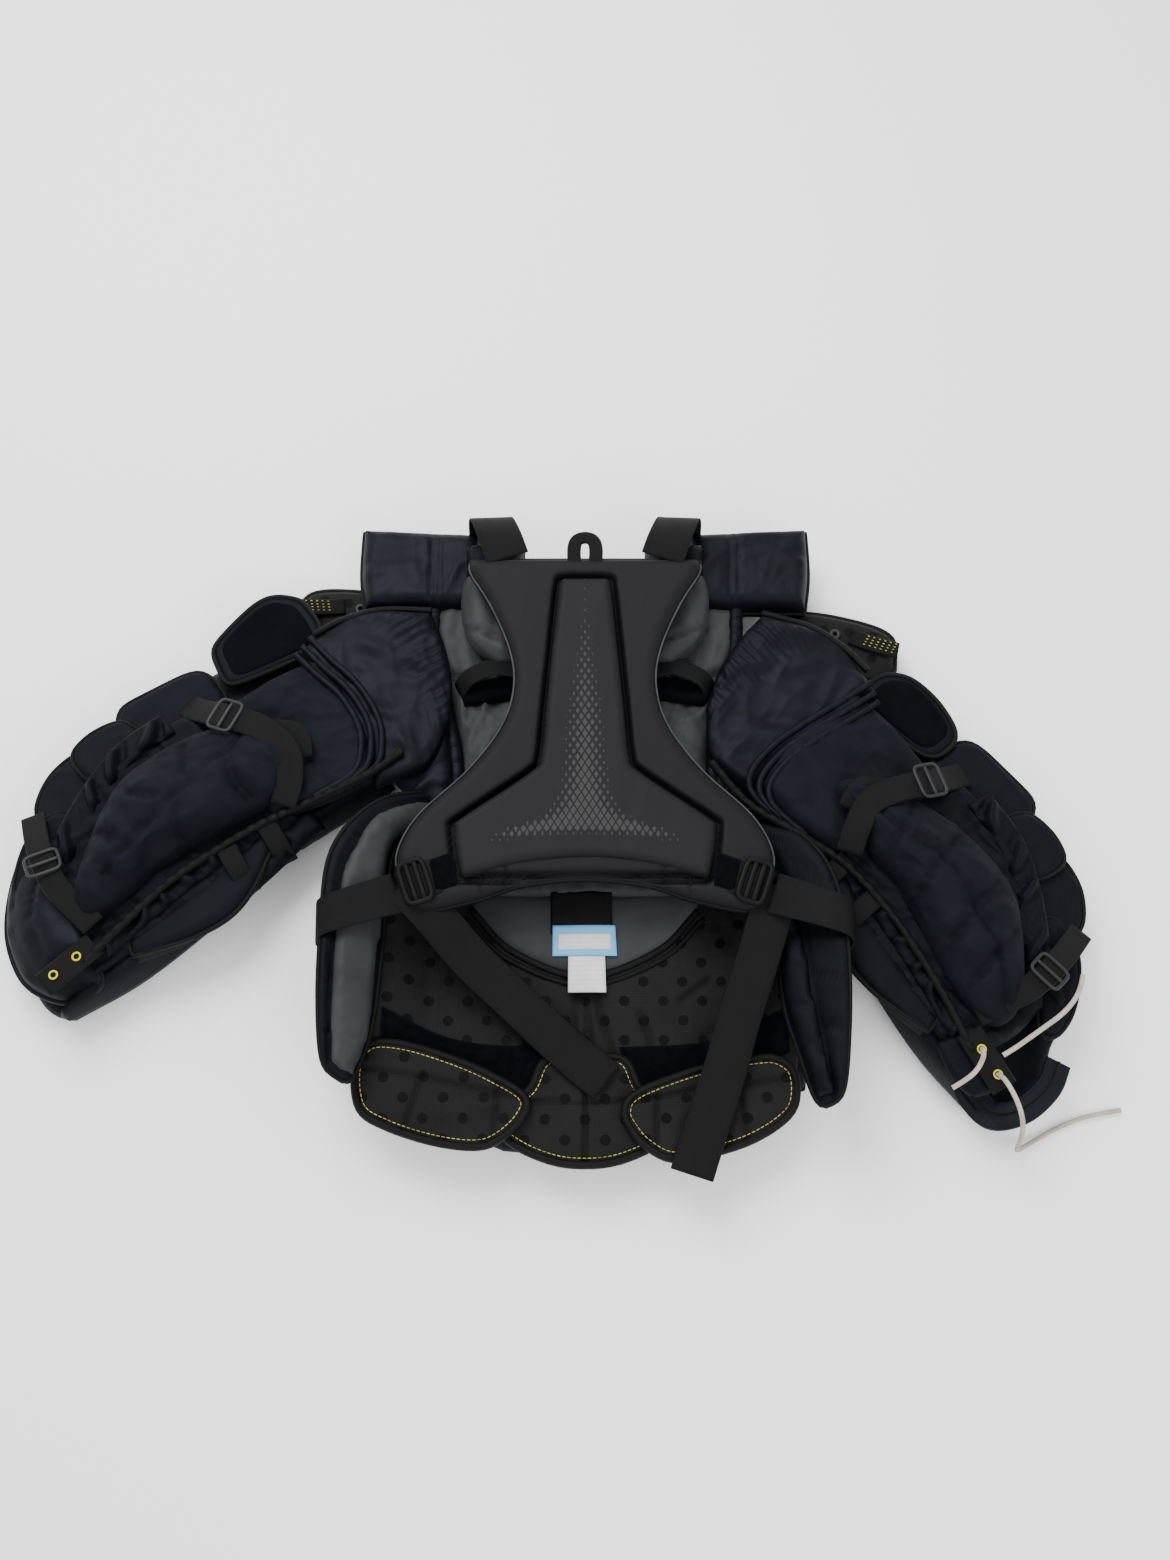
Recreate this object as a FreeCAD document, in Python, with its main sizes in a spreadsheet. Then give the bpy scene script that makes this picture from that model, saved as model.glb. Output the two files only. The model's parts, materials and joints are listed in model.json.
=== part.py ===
import FreeCAD, Part
import math
import os

import Sketcher

# A hockey goalie's chest-and-arm protector, lying chest down with its back pad up.
# Millimetres. X runs across the chest, Y towards the neck, Z up from the floor.
# The origin is the middle of the sternum plate's face that lies on the floor.

SIZES = {
    # torso, in plan
    "chest_half": 118,
    "chest_top": 250,
    "chest_bottom": -170,
    "rib_half": 150,
    "rib_top": 70,
    "belly_half": 152,
    "belly_drop": 112,
    "neck_half": 60,
    "block_half": 230,
    "block_inner": 127,
    "block_top": 352,
    "yoke_half": 150,
    "yoke_top": 262,
    "yoke_low": 110,
    "yoke_neck_rise": 66,
    "riser_rise": 64,
    "riser_width": 60,
    "riser_gap": 3,
    "collar_inset": 6,
    "collar_low": 45,
    "collar_bend": 90,
    "strip_start": 2,
    "strip_end": 34,
    # torso, layer by layer from the floor
    "sternum_depth": 12,
    "chest_depth": 20,
    "liner_depth": 10,
    "collar_depth": 16,
    "block_depth": 40,
    "hook_depth": 2,
    "label_depth": 1,
    "webbing_depth": 3,
    "webbing_width": 42,
    "cap_depth": 22,
    # back pad
    "back_level": 86,
    "back_depth": 24,
    "core_depth": 10,
    "back_top": 287,
    "back_top_half": 122,
    "waist_level": 145,
    "waist_half": 68,
    "back_low_half": 173,
    "back_low": -17,
    "band_half": 149,
    "band_low": -77,
    "core_top": 262,
    "core_top_half": 28,
    "core_mid_half": 43,
    "core_low_half": 125,
    "core_bottom": -45,
    "buckle_length": 34,
    "buckle_height": 8,
    "loop_height": 34,
    "loop_half": 16,
    "loop_eye_half": 8,
    "loop_thickness": 14,
    "loop_sink": 16,
    "band_depth": 20,
    "band_edge": 4,
    "strap_sink": 8,
    "tail_left_length": 232,
    "tail_right_length": 268,
    "tail_left_angle": -41,
    "tail_right_angle": -101,
    # side wings
    "wing_root": 150,
    "wing_reach": 232,
    "wing_rise": 60,
    "wing_depth": 12,
    "wing_top": 30,
    "wing_bottom": -215,
    # belly flaps
    "flap_line": -176,
    "flap_depth": 10,
    "flap_reach": 180,
    "flap_split": 48,
    "flap_drop": 82,
    "tongue_drop": 120,
    # arms, along the sleeve from the shoulder or elbow, and across it
    "shoulder_half": 160,
    "shoulder_level": 177,
    "left_arm_angle": 214,
    "right_arm_angle": -53,
    "elbow_angle": 8,
    "upper_arm_length": 205,
    "forearm_length": 285,
    "shell_start": 85,
    "shell_depth": 14,
    "shell_height": 60,
    "inner_wall": 12,
    "sleeve_half": 60,
    "flange_reach": 150,
    "flange_height": 40,
    "cap_reach": 165,
    "cap_length": 75,
    "shoulder_round": 50,
    "sleeve_liner_depth": 10,
    "biceps_pad_depth": 36,
    "forearm_pad_depth": 38,
    "forearm_pad_end": 205,
    "cuff_start": 212,
    "cuff_depth": 18,
    "cuff_inner": 84,
    "cuff_outer": 16,
    "elbow_radius": 52,
    "elbow_depth": 20,
    "elbow_flex": 24,
    "arm_strap_width": 25,
    "upper_strap_setback": 12,
    "forearm_strap_setback": 45,
    "upper_buckle_across": 18,
    "forearm_buckle_across": 8,
    "arm_buckle_width": 36,
    "upper_buckle_overhang": 2,
    "forearm_buckle_overhang": 3,
    "liner_hem": 28,
    "arm_flap_length": 96,
    "arm_flap_width": 66,
    "arm_flap_start": 4,
    "arm_flap_gap": 14,
    "lace_tab_depth": 4,
    "lace_tab_start": 2,
    "lace_tab_length": 50,
    "lace_tab_width": 26,
    "lace_tab_near": 22,
    "lace_diameter": 4.5,
    # clearances and roundings
    "joint_gap": 2,
    "layer_gap": 0.5,
    "soft_round": 14,
    "small_round": 4,
}

doc = FreeCAD.newDocument("chest_and_arm_protector")
sheet = doc.addObject("Spreadsheet::Sheet", "Sizes")
for row, (alias, number) in enumerate(SIZES.items(), start=1):
    sheet.set(f"A{row}", alias)
    sheet.set(f"B{row}", str(number))
    sheet.setAlias(f"B{row}", alias)
doc.recompute()

nodes = {}


def bound(expression):
    """An expression over the sheet's aliases, as setExpression reads it."""
    words = sorted(SIZES, key=len, reverse=True)
    text = str(expression)
    for word in words:
        text = text.replace(word, f"<{words.index(word)}>")
    for index, word in enumerate(words):
        text = text.replace(f"<{index}>", f"Sizes.{word}")
    return text


def value(expression):
    """The same expression's number now."""
    answer = sheet.evalExpression(bound(expression).replace("Sizes.", ""))
    return float(getattr(answer, "Value", answer))


# ---- where each sub-part stands: x, y, angle about Z, and which way its across axis points


def torso_site(side=1):
    return {"x": "0", "y": "0", "angle": "0", "flip_x": side, "flip_y": 1}


def upper_site(side):
    angle = "right_arm_angle" if side > 0 else "left_arm_angle"
    return {
        "x": f"{side} * shoulder_half",
        "y": "shoulder_level",
        "angle": angle,
        "flip_x": 1,
        "flip_y": side,
    }


def forearm_site(side):
    upper = upper_site(side)
    angle = upper["angle"]
    return {
        "x": f"{upper['x']} + upper_arm_length * cos({angle})",
        "y": f"shoulder_level + upper_arm_length * sin({angle})",
        "angle": f"{angle} - {side} * elbow_angle",
        "flip_x": 1,
        "flip_y": side,
    }


def new_body(name, site):
    body = doc.addObject("PartDesign::Body", name)
    body.setExpression("Placement.Base.x", bound(site["x"]))
    body.setExpression("Placement.Base.y", bound(site["y"]))
    body.setExpression("Placement.Rotation.Angle", bound(site["angle"]))
    return body


def outline(body, name, points, plane, offset, flip_x=1, flip_y=1):
    """A closed polygon on one of the body's origin planes, each corner bound to the sheet."""
    sketch = body.newObject("Sketcher::SketchObject", name)
    origin_plane = [feature for feature in body.Origin.OriginFeatures if feature.Role == plane][0]
    sketch.AttachmentSupport = (origin_plane, [""])
    sketch.MapMode = "FlatFace"
    sketch.setExpression("AttachmentOffset.Base.z", bound(offset))
    corners = [(f"{flip_x} * ({x})", f"{flip_y} * ({y})") for x, y in points]
    spots = [FreeCAD.Vector(value(x), value(y), 0) for x, y in corners]
    count = len(spots)
    for index, spot in enumerate(spots):
        sketch.addGeometry(Part.LineSegment(spot, spots[(index + 1) % count]))
    for index in range(count):
        sketch.addConstraint(Sketcher.Constraint("Coincident", index, 2, (index + 1) % count, 1))
    for index, (x, y) in enumerate(corners):
        across = sketch.addConstraint(Sketcher.Constraint("DistanceX", -1, 1, index, 1, spots[index].x))
        sketch.setExpression(f"Constraints[{across}]", bound(x))
        along = sketch.addConstraint(Sketcher.Constraint("DistanceY", -1, 1, index, 1, spots[index].y))
        sketch.setExpression(f"Constraints[{along}]", bound(y))
    return sketch


def pad_feature(body, sketch, length):
    pad = body.newObject("PartDesign::Pad", f"{body.Name}_pad")
    pad.Profile = sketch
    pad.setExpression("Length", bound(length))
    doc.recompute()
    return pad


def round_corners(body, feature, radius):
    """Rounds the edges that stand upright."""
    edges = []
    for index, edge in enumerate(feature.Shape.Edges, start=1):
        ends = [vertex.Point for vertex in edge.Vertexes]
        if len(ends) == 2 and math.hypot(ends[0].x - ends[1].x, ends[0].y - ends[1].y) < 1e-6:
            edges.append(f"Edge{index}")
    fillet = body.newObject("PartDesign::Fillet", f"{body.Name}_corners")
    fillet.Base = (feature, edges)
    fillet.setExpression("Radius", bound(radius))
    doc.recompute()
    return fillet


def keep(name, item):
    item.Label = name
    nodes[name] = item
    return item


def plate(name, points, bottom, depth, site, rounding=None, kept=True):
    """A flat padded piece: an outline in plan, lifted to its level and given its depth."""
    body = new_body(name, site)
    sketch = outline(body, f"{name}_outline", points, "XY_Plane", bottom, site["flip_x"], site["flip_y"])
    feature = pad_feature(body, sketch, depth)
    if rounding:
        round_corners(body, feature, rounding)
    return keep(name, body) if kept else body


def cut_down(body, name, points, bottom, depth, site):
    """Removes everything over an outline from one level up."""
    sketch = outline(body, f"{name}_outline", points, "XY_Plane", bottom, site["flip_x"], site["flip_y"])
    before = body.Shape.Volume
    pocket = body.newObject("PartDesign::Pocket", name)
    pocket.Profile = sketch
    pocket.Reversed = True
    pocket.setExpression("Length", bound(depth))
    doc.recompute()
    if body.Shape.Volume >= before:
        raise RuntimeError(f"{name} cuts nothing")
    return pocket


def box_points(x_low, x_high, y_low, y_high):
    return [(x_low, y_low), (x_high, y_low), (x_high, y_high), (x_low, y_high)]


def both_sides(points):
    """Right-hand points, from bottom to top, completed by their mirror."""
    return list(points) + [(f"-({x})", y) for x, y in reversed(points)]


def pair(name, source):
    """A piece and its mirror across the middle of the body, as one node of two solids."""
    mirror = doc.addObject("Part::Mirroring", f"{name}_mirror")
    mirror.Source = source
    mirror.Normal = FreeCAD.Vector(1, 0, 0)
    both = doc.addObject("Part::Compound", name)
    both.Links = [source, mirror]
    doc.recompute()
    return keep(name, both)


# ---- torso: foam layers from the floor up

CHEST_LEVEL = "sternum_depth"
LINER_LEVEL = "(sternum_depth + chest_depth)"
COLLAR_LEVEL = "(sternum_depth + chest_depth + liner_depth)"


def make_torso():
    site = torso_site()
    middle = box_points("-neck_half * 1.5", "neck_half * 1.5", "yoke_low / -2", "yoke_top - 72")
    plate("sternum_plate", middle, "0", "sternum_depth", site, "soft_round")
    chest = both_sides([
        ("rib_half - 12", "chest_bottom"),
        ("rib_half", "chest_bottom + 60"),
        ("rib_half", "rib_top"),
        ("chest_half", "rib_top + 40"),
        ("chest_half", "chest_top"),
        ("neck_half + 20", "chest_top"),
        ("neck_half - 20", "chest_top - 60"),
    ])
    plate("chest_pad", chest, CHEST_LEVEL, "chest_depth", site, "small_round")
    rib = plate("rib_pad", [
        ("neck_half * 1.5 + joint_gap", "chest_bottom"),
        ("rib_half - 12", "chest_bottom"),
        ("rib_half", "chest_bottom + 60"),
        ("rib_half", "rib_top"),
        ("neck_half * 1.5 + joint_gap", "rib_top"),
    ], "0", "sternum_depth", site, "small_round", kept=False)
    pair("rib_pads", rib)
    belly = both_sides([
        ("belly_half / 2", "chest_bottom - belly_drop"),
        ("belly_half", "chest_bottom - belly_drop * 0.7"),
        ("belly_half", "chest_bottom"),
    ])
    plate("belly_pad", belly, "0", LINER_LEVEL, site, "soft_round")


def make_liners():
    site = torso_site()
    belly = both_sides([
        ("belly_half - 20", "chest_bottom"),
        ("rib_half - 8", "chest_bottom + 66"),
        ("rib_half - 8", "yoke_low / -2"),
    ])
    plate("belly_liner", belly, LINER_LEVEL, "liner_depth / 2", site, "small_round")
    crescent = both_sides([
        ("38", "-yoke_low - joint_gap"),
        ("82", "yoke_low * -0.84"),
        ("104", "yoke_low * -0.6"),
    ])
    belly_top = f"({LINER_LEVEL} + liner_depth / 2)"
    plate("sternum_liner", crescent, belly_top, "liner_depth / 2", site, "small_round")
    yoke = both_sides([
        ("rib_half - 12", "yoke_low / -2 + joint_gap"),
        ("rib_half - 12", "rib_top"),
        ("chest_half", "yoke_low"),
        ("yoke_half", "shoulder_level - 30"),
        ("yoke_half", "yoke_top"),
        ("block_inner - joint_gap", "yoke_top"),
        ("block_inner - joint_gap", "yoke_top + yoke_neck_rise"),
        ("neck_half", "yoke_top + yoke_neck_rise"),
        ("neck_half - 20", "chest_top - 60"),
    ])
    plate("yoke_liner", yoke, LINER_LEVEL, "liner_depth", site, "small_round")
    strip_edge = box_points(
        "-belly_half + 12", "belly_half - 12", "flap_line + strip_start", "flap_line + strip_end",
    )
    plate("hook_strip", strip_edge, belly_top, "hook_depth", site)
    maker = box_points("-30", "30", "yoke_low * -0.95", "yoke_low * -0.58")
    plate("maker_label", maker, COLLAR_LEVEL, "label_depth", site)
    care = box_points("-16", "20", "yoke_low * -1.3", "yoke_low * -0.96")
    plate("care_label", care, COLLAR_LEVEL, "label_depth", site)


def make_yoke():
    site = torso_site()
    block = plate("shoulder_block", box_points(
        "block_inner", "block_half", "yoke_top", "block_top",
    ), "cap_depth + joint_gap", "block_depth", site, "small_round", kept=False)
    pair("shoulder_blocks", block)
    strap_level = "back_level + back_depth - strap_sink"
    riser = plate("yoke_riser", box_points(
        "neck_half", "neck_half + riser_width", "back_top + riser_gap", "yoke_top + riser_rise",
    ), COLLAR_LEVEL, f"{strap_level} - {COLLAR_LEVEL}", site, "small_round", kept=False)
    pair("yoke_risers", riser)
    collar = plate("collar_pad", [
        ("neck_half + collar_inset", "waist_level + collar_low"),
        ("chest_half", "waist_level + collar_bend"),
        ("chest_half + 4", "back_top - 1"),
        ("neck_half + collar_inset", "back_top - 1"),
    ], COLLAR_LEVEL, "collar_depth", site, "small_round", kept=False)
    pair("collar_pads", collar)
    strap = plate("top_strap", box_points(
        "neck_half + 10", "neck_half + 10 + webbing_width", "back_top + riser_gap", "yoke_top + riser_rise",
    ), strap_level, "webbing_depth", site, kept=False)
    pair("top_straps", strap)


# ---- back pad, which hinges up about its top edge


def make_back_pad():
    site = torso_site()
    base = both_sides([
        ("back_low_half - 6", "back_low - 12"),
        ("back_low_half", "back_low"),
        ("waist_half + 30", "back_low + 92"),
        ("waist_half + 4", "waist_level - 30"),
        ("waist_half", "waist_level"),
        ("waist_half + 9", "waist_level + 62"),
        ("back_top_half", "back_top - 10"),
        ("back_top_half - 12", "back_top"),
    ])
    plate("back_pad", base, "back_level", "back_depth", site, "small_round")
    core = both_sides([
        ("core_low_half - 12", "core_bottom + 22"),
        ("core_low_half", "core_bottom + 50"),
        ("core_mid_half + 6", "core_bottom + 110"),
        ("core_mid_half", "core_bottom + 130"),
        ("core_top_half", "core_top"),
    ])
    plate("back_core", core, "back_level + back_depth", "core_depth", site, "small_round")
    band = both_sides([
        ("40", "band_low + 8"),
        ("band_half", "band_low"),
        ("back_low_half - 6", "back_low - 12"),
    ])
    plate("back_band", band, "back_level", "band_depth", site, "small_round")
    buckle = plate("waist_buckle", box_points(
        "band_half - buckle_length", "band_half",
        "band_low + band_edge", "band_low + band_edge + webbing_width",
    ), "back_level + band_depth", "buckle_height", site, "small_round", kept=False)
    pair("waist_buckles", buckle)
    loop_level = "back_level + back_depth - loop_sink"
    loop = new_body("hanging_loop", site)
    arch = outline(loop, "hanging_loop_arch", [
        ("-loop_half", "back_top"),
        ("loop_half", "back_top"),
        ("loop_half", "back_top + loop_height"),
        ("-loop_half", "back_top + loop_height"),
    ], "XY_Plane", loop_level)
    pad_feature(loop, arch, "loop_thickness")
    eye = box_points("-loop_eye_half", "loop_eye_half", "back_top", "back_top + loop_height - loop_eye_half")
    cut_down(loop, "hanging_loop_eye", eye, loop_level, "loop_thickness", site)
    keep("hanging_loop", loop)


def make_strap_tail(name, side, length, angle):
    """The free end of a waist strap, from the buckle down over the belly."""
    site = {
        "x": f"{side} * (band_half - small_round)",
        "y": "band_low + band_edge + webbing_width / 2",
        "angle": angle,
        "flip_x": 1,
        "flip_y": 1,
    }
    level = "back_level + band_depth + buckle_height + layer_gap"
    plate(name, box_points("0", length, "-webbing_width / 2", "webbing_width / 2"),
          level, "webbing_depth", site)


# ---- side wings: sloping panels that rise from the ribs


def make_wing(name, side):
    slope = doc.addObject("PartDesign::Body", f"{name}_slope")
    root = "(wing_root + joint_gap)"
    base = LINER_LEVEL
    section = outline(slope, f"{name}_section", [
        (root, base),
        ("wing_reach", f"{base} + wing_rise"),
        ("wing_reach", f"{base} + wing_rise + wing_depth"),
        (root, f"{base} + wing_depth"),
    ], "XZ_Plane", "-wing_top", flip_x=side)
    pad_feature(slope, section, "wing_top - wing_bottom")
    plan = plate(f"{name}_plan", [
        (root, "-60"),
        (root, "wing_top - 20"),
        ("wing_root + 12", "wing_top"),
        ("wing_reach", "wing_top - 114"),
        ("wing_reach - 8", "wing_bottom"),
        ("wing_reach - 38", "wing_bottom"),
    ], base, "wing_rise + wing_depth", torso_site(side), "small_round", kept=False)
    both = doc.addObject("Part::Common", name)
    both.Base = slope
    both.Tool = plan
    keep(name, both)
    strap_name = f"wing_strap_{name.split('_')[1]}"
    strap = new_body(strap_name, torso_site())
    climb = f"wing_rise / (wing_reach - {root})"
    skin = f"{base} + wing_depth"
    lower_end = "(wing_reach - 62)"
    upper_end = "(wing_reach - 24)"
    band = outline(strap, f"{strap_name}_section", [
        (lower_end, f"{skin} + ({lower_end} - {root}) * {climb}"),
        (upper_end, f"{skin} + ({upper_end} - {root}) * {climb}"),
        (upper_end, f"{skin} + ({upper_end} - {root}) * {climb} + webbing_depth"),
        (lower_end, f"{skin} + ({lower_end} - {root}) * {climb} + webbing_depth"),
    ], "XZ_Plane", "-(band_low + band_edge + webbing_width)", flip_x=side)
    pad_feature(strap, band, "webbing_width")
    keep(strap_name, strap)


# ---- belly flaps


def make_belly_flaps():
    level = f"{COLLAR_LEVEL} - liner_depth / 2 + hook_depth + layer_gap"
    tongue = both_sides([
        ("flap_split * 0.6", "flap_line - tongue_drop"),
        ("flap_split + 24", "flap_line - tongue_drop + 22"),
        ("flap_split + 40", "flap_line"),
    ])
    plate("belly_flap_centre", tongue, level, "flap_depth", torso_site(), "soft_round")
    for name, side in (("belly_flap_left", -1), ("belly_flap_right", 1)):
        plate(name, [
            ("flap_split + 30", "flap_line - flap_drop - 20"),
            ("flap_reach - 16", "flap_line - flap_drop + 6"),
            ("flap_reach", "flap_line - flap_drop / 2"),
            ("flap_reach - 6", "flap_line"),
            ("flap_split + 30", "flap_line"),
            ("flap_split - 6", "flap_line - flap_drop * 0.65"),
        ], f"{level} + flap_depth", "flap_depth", torso_site(side), "small_round")


# ---- arms


def make_shoulder_cap(side, suffix):
    plate(f"shoulder_cap_{suffix}", [
        ("2", "-40"),
        ("cap_length", "-40"),
        ("cap_length", "cap_reach - 30"),
        ("cap_length - 18", "cap_reach"),
        ("-35", "cap_reach - 46"),
    ], "0", "cap_depth", upper_site(side), "soft_round")


def make_upper_arm(side, suffix):
    site = upper_site(side)
    inner = "(sleeve_half + inner_wall)"
    end = "(upper_arm_length - joint_gap / 2)"
    shell = plate(f"upper_shell_{suffix}", [
        ("shell_start", f"-{inner}"),
        (end, f"-{inner}"),
        (end, "flange_reach"),
        ("shell_start", "flange_reach - 10"),
    ], "0", "shell_height", site)
    cut_down(shell, f"upper_tunnel_{suffix}", box_points(
        "shell_start - 1", "upper_arm_length + 1", "-sleeve_half", "sleeve_half",
    ), "shell_depth", "shell_height", site)
    cut_down(shell, f"upper_flange_{suffix}", box_points(
        "shell_start - 1", "upper_arm_length + 1", "sleeve_half + inner_wall", "flange_reach + 1",
    ), "flange_height", "shell_height", site)
    cut_disc(shell, f"upper_elbow_seat_{suffix}", "upper_arm_length", "elbow_radius + joint_gap")
    liner = plate(f"upper_liner_{suffix}", [
        ("-shoulder_round * 0.9", "-shoulder_round * 0.4"),
        ("-shoulder_round * 0.4", "-shoulder_round * 0.9"),
        ("30", "-shoulder_round"),
        ("shell_start", f"-{inner}"),
        ("shell_start + liner_hem", f"-{inner}"),
        ("shell_start + liner_hem", inner),
        ("shell_start", inner),
        ("30", "shoulder_round + 20"),
        ("-shoulder_round * 0.4", "shoulder_round * 0.9"),
        ("-shoulder_round * 0.9", "shoulder_round * 0.4"),
    ], "shell_height", "sleeve_liner_depth", site)
    round_corners(liner, liner.Tip, "small_round")
    plate(f"biceps_pad_{suffix}", box_points(
        "shell_start + liner_hem + joint_gap", "upper_arm_length - elbow_flex",
        f"-{inner} + 6", f"{inner} - 8",
    ), "shell_height", "biceps_pad_depth", site, "soft_round")
    strap_start = "upper_arm_length - elbow_flex - upper_strap_setback - arm_strap_width"
    strap = new_body(f"upper_strap_{suffix}", site)
    top = "(shell_height + biceps_pad_depth + layer_gap)"
    profile = outline(strap, f"upper_strap_section_{suffix}", [
        (f"-{inner}", "shell_height"),
        (f"-{inner} + webbing_depth", "shell_height"),
        (f"-{inner} + webbing_depth", top),
        (f"{inner} - 2 - webbing_depth", top),
        (f"{inner} - 2 - webbing_depth", "shell_height"),
        (f"{inner} - 2", "shell_height"),
        (f"{inner} - 2", f"{top} + webbing_depth"),
        (f"-{inner}", f"{top} + webbing_depth"),
    ], "YZ_Plane", strap_start, flip_x=side)
    pad_feature(strap, profile, "arm_strap_width")
    keep(f"upper_strap_{suffix}", strap)
    plate(f"upper_buckle_{suffix}", box_points(
        f"{strap_start} - upper_buckle_overhang", f"{strap_start} + arm_strap_width + upper_buckle_overhang",
        "upper_buckle_across", "upper_buckle_across + arm_buckle_width",
    ), f"{top} + webbing_depth", "buckle_height", site, "small_round")
    plate(f"biceps_flap_{suffix}", box_points(
        "shell_start + arm_flap_start", "shell_start + arm_flap_start + arm_flap_length",
        f"{inner} + arm_flap_gap", f"{inner} + arm_flap_gap + arm_flap_width",
    ), "flange_height + layer_gap", "flap_depth", site, "soft_round")


def cut_disc(body, name, along, radius):
    """Clears a round seat through the shell, about the elbow."""
    sketch = body.newObject("Sketcher::SketchObject", f"{name}_outline")
    origin_plane = [feature for feature in body.Origin.OriginFeatures if feature.Role == "XY_Plane"][0]
    sketch.AttachmentSupport = (origin_plane, [""])
    sketch.MapMode = "FlatFace"
    centre = FreeCAD.Vector(value(along), 0, 0)
    sketch.addGeometry(Part.Circle(centre, FreeCAD.Vector(0, 0, 1), value(radius)))
    spot = sketch.addConstraint(Sketcher.Constraint("DistanceX", -1, 1, 0, 3, centre.x))
    sketch.setExpression(f"Constraints[{spot}]", bound(along))
    sketch.addConstraint(Sketcher.Constraint("PointOnObject", 0, 3, -1))
    size = sketch.addConstraint(Sketcher.Constraint("Radius", 0, value(radius)))
    sketch.setExpression(f"Constraints[{size}]", bound(radius))
    before = body.Shape.Volume
    pocket = body.newObject("PartDesign::Pocket", name)
    pocket.Profile = sketch
    pocket.Reversed = True
    pocket.setExpression("Length", bound("elbow_depth + joint_gap"))
    doc.recompute()
    if body.Shape.Volume >= before:
        raise RuntimeError(f"{name} cuts nothing")


def make_elbow_pad(side, suffix):
    site = forearm_site(side)
    body = new_body(f"elbow_pad_{suffix}", site)
    sketch = body.newObject("Sketcher::SketchObject", f"elbow_pad_outline_{suffix}")
    origin_plane = [feature for feature in body.Origin.OriginFeatures if feature.Role == "XY_Plane"][0]
    sketch.AttachmentSupport = (origin_plane, [""])
    sketch.MapMode = "FlatFace"
    sketch.addGeometry(Part.Circle(FreeCAD.Vector(0, 0, 0), FreeCAD.Vector(0, 0, 1), value("elbow_radius")))
    sketch.addConstraint(Sketcher.Constraint("Coincident", 0, 3, -1, 1))
    size = sketch.addConstraint(Sketcher.Constraint("Radius", 0, value("elbow_radius")))
    sketch.setExpression(f"Constraints[{size}]", bound("elbow_radius"))
    pad_feature(body, sketch, "elbow_depth")
    keep(f"elbow_pad_{suffix}", body)


def make_forearm(side, suffix):
    site = forearm_site(side)
    inner = "(sleeve_half + inner_wall)"
    lean = "tan(elbow_angle)"
    shell = plate(f"forearm_shell_{suffix}", [
        (f"joint_gap / 2 + {inner} * {lean}", f"-{inner}"),
        ("forearm_length", "-cuff_inner"),
        ("forearm_length", "cuff_outer"),
        ("forearm_length - 26", "sleeve_half + 22"),
        ("forearm_length - 90", "flange_reach - 14"),
        ("60", "flange_reach"),
        (f"joint_gap / 2 - flange_reach * {lean}", "flange_reach"),
    ], "0", "shell_height", site)
    cut_down(shell, f"forearm_tunnel_{suffix}", [
        ("-60", "-sleeve_half"),
        ("forearm_length + 1", "-cuff_inner + inner_wall"),
        ("forearm_length + 1", "cuff_outer - inner_wall"),
        ("forearm_length - 60", "sleeve_half"),
        ("-60", "sleeve_half"),
    ], "shell_depth", "shell_height", site)
    cut_down(shell, f"forearm_flange_{suffix}", [
        ("-60", inner),
        ("forearm_length - 56", inner),
        ("forearm_length - 20", "cuff_outer + 40"),
        ("forearm_length + 20", "flange_reach + 1"),
        ("-60", "flange_reach + 1"),
    ], "flange_height", "shell_height", site)
    cut_disc(shell, f"forearm_elbow_seat_{suffix}", "0", "elbow_radius")
    plate(f"forearm_pad_{suffix}", [
        ("elbow_flex + 4", f"-{inner} + 4"),
        ("forearm_pad_end", f"-{inner} + 4"),
        ("forearm_pad_end", f"{inner} - 12"),
        ("elbow_flex - 14", f"{inner} - 12"),
    ], "shell_height", "forearm_pad_depth", site, "soft_round")
    strap_level = "shell_height + forearm_pad_depth"
    strap_start = "forearm_pad_end - forearm_strap_setback"
    plate(f"forearm_strap_{suffix}", box_points(
        strap_start, f"{strap_start} + arm_strap_width", f"-{inner} + 5", f"{inner} - 13",
    ), strap_level, "webbing_depth", site)
    plate(f"forearm_buckle_{suffix}", box_points(
        f"{strap_start} - forearm_buckle_overhang",
        f"{strap_start} + arm_strap_width + forearm_buckle_overhang",
        "forearm_buckle_across", "forearm_buckle_across + arm_buckle_width",
    ), f"{strap_level} + webbing_depth", "buckle_height", site, "small_round")
    plate(f"wrist_cuff_{suffix}", [
        ("cuff_start", "-cuff_inner + 8"),
        ("forearm_length", "-cuff_inner"),
        ("forearm_length", "cuff_outer"),
        ("cuff_start", f"{inner} - 4"),
    ], "shell_height", "cuff_depth", site)
    tab = plate(f"lace_tab_{suffix}", box_points(
        "cuff_start + lace_tab_start", "cuff_start + lace_tab_start + lace_tab_length",
        "-lace_tab_near - lace_tab_width", "-lace_tab_near",
    ), "shell_height + cuff_depth", "lace_tab_depth", site)
    round_corners(tab, tab.Tip, "small_round")


# ---- laces on the right wrist: straight runs joined by the widest tangent arcs they leave room for

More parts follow.
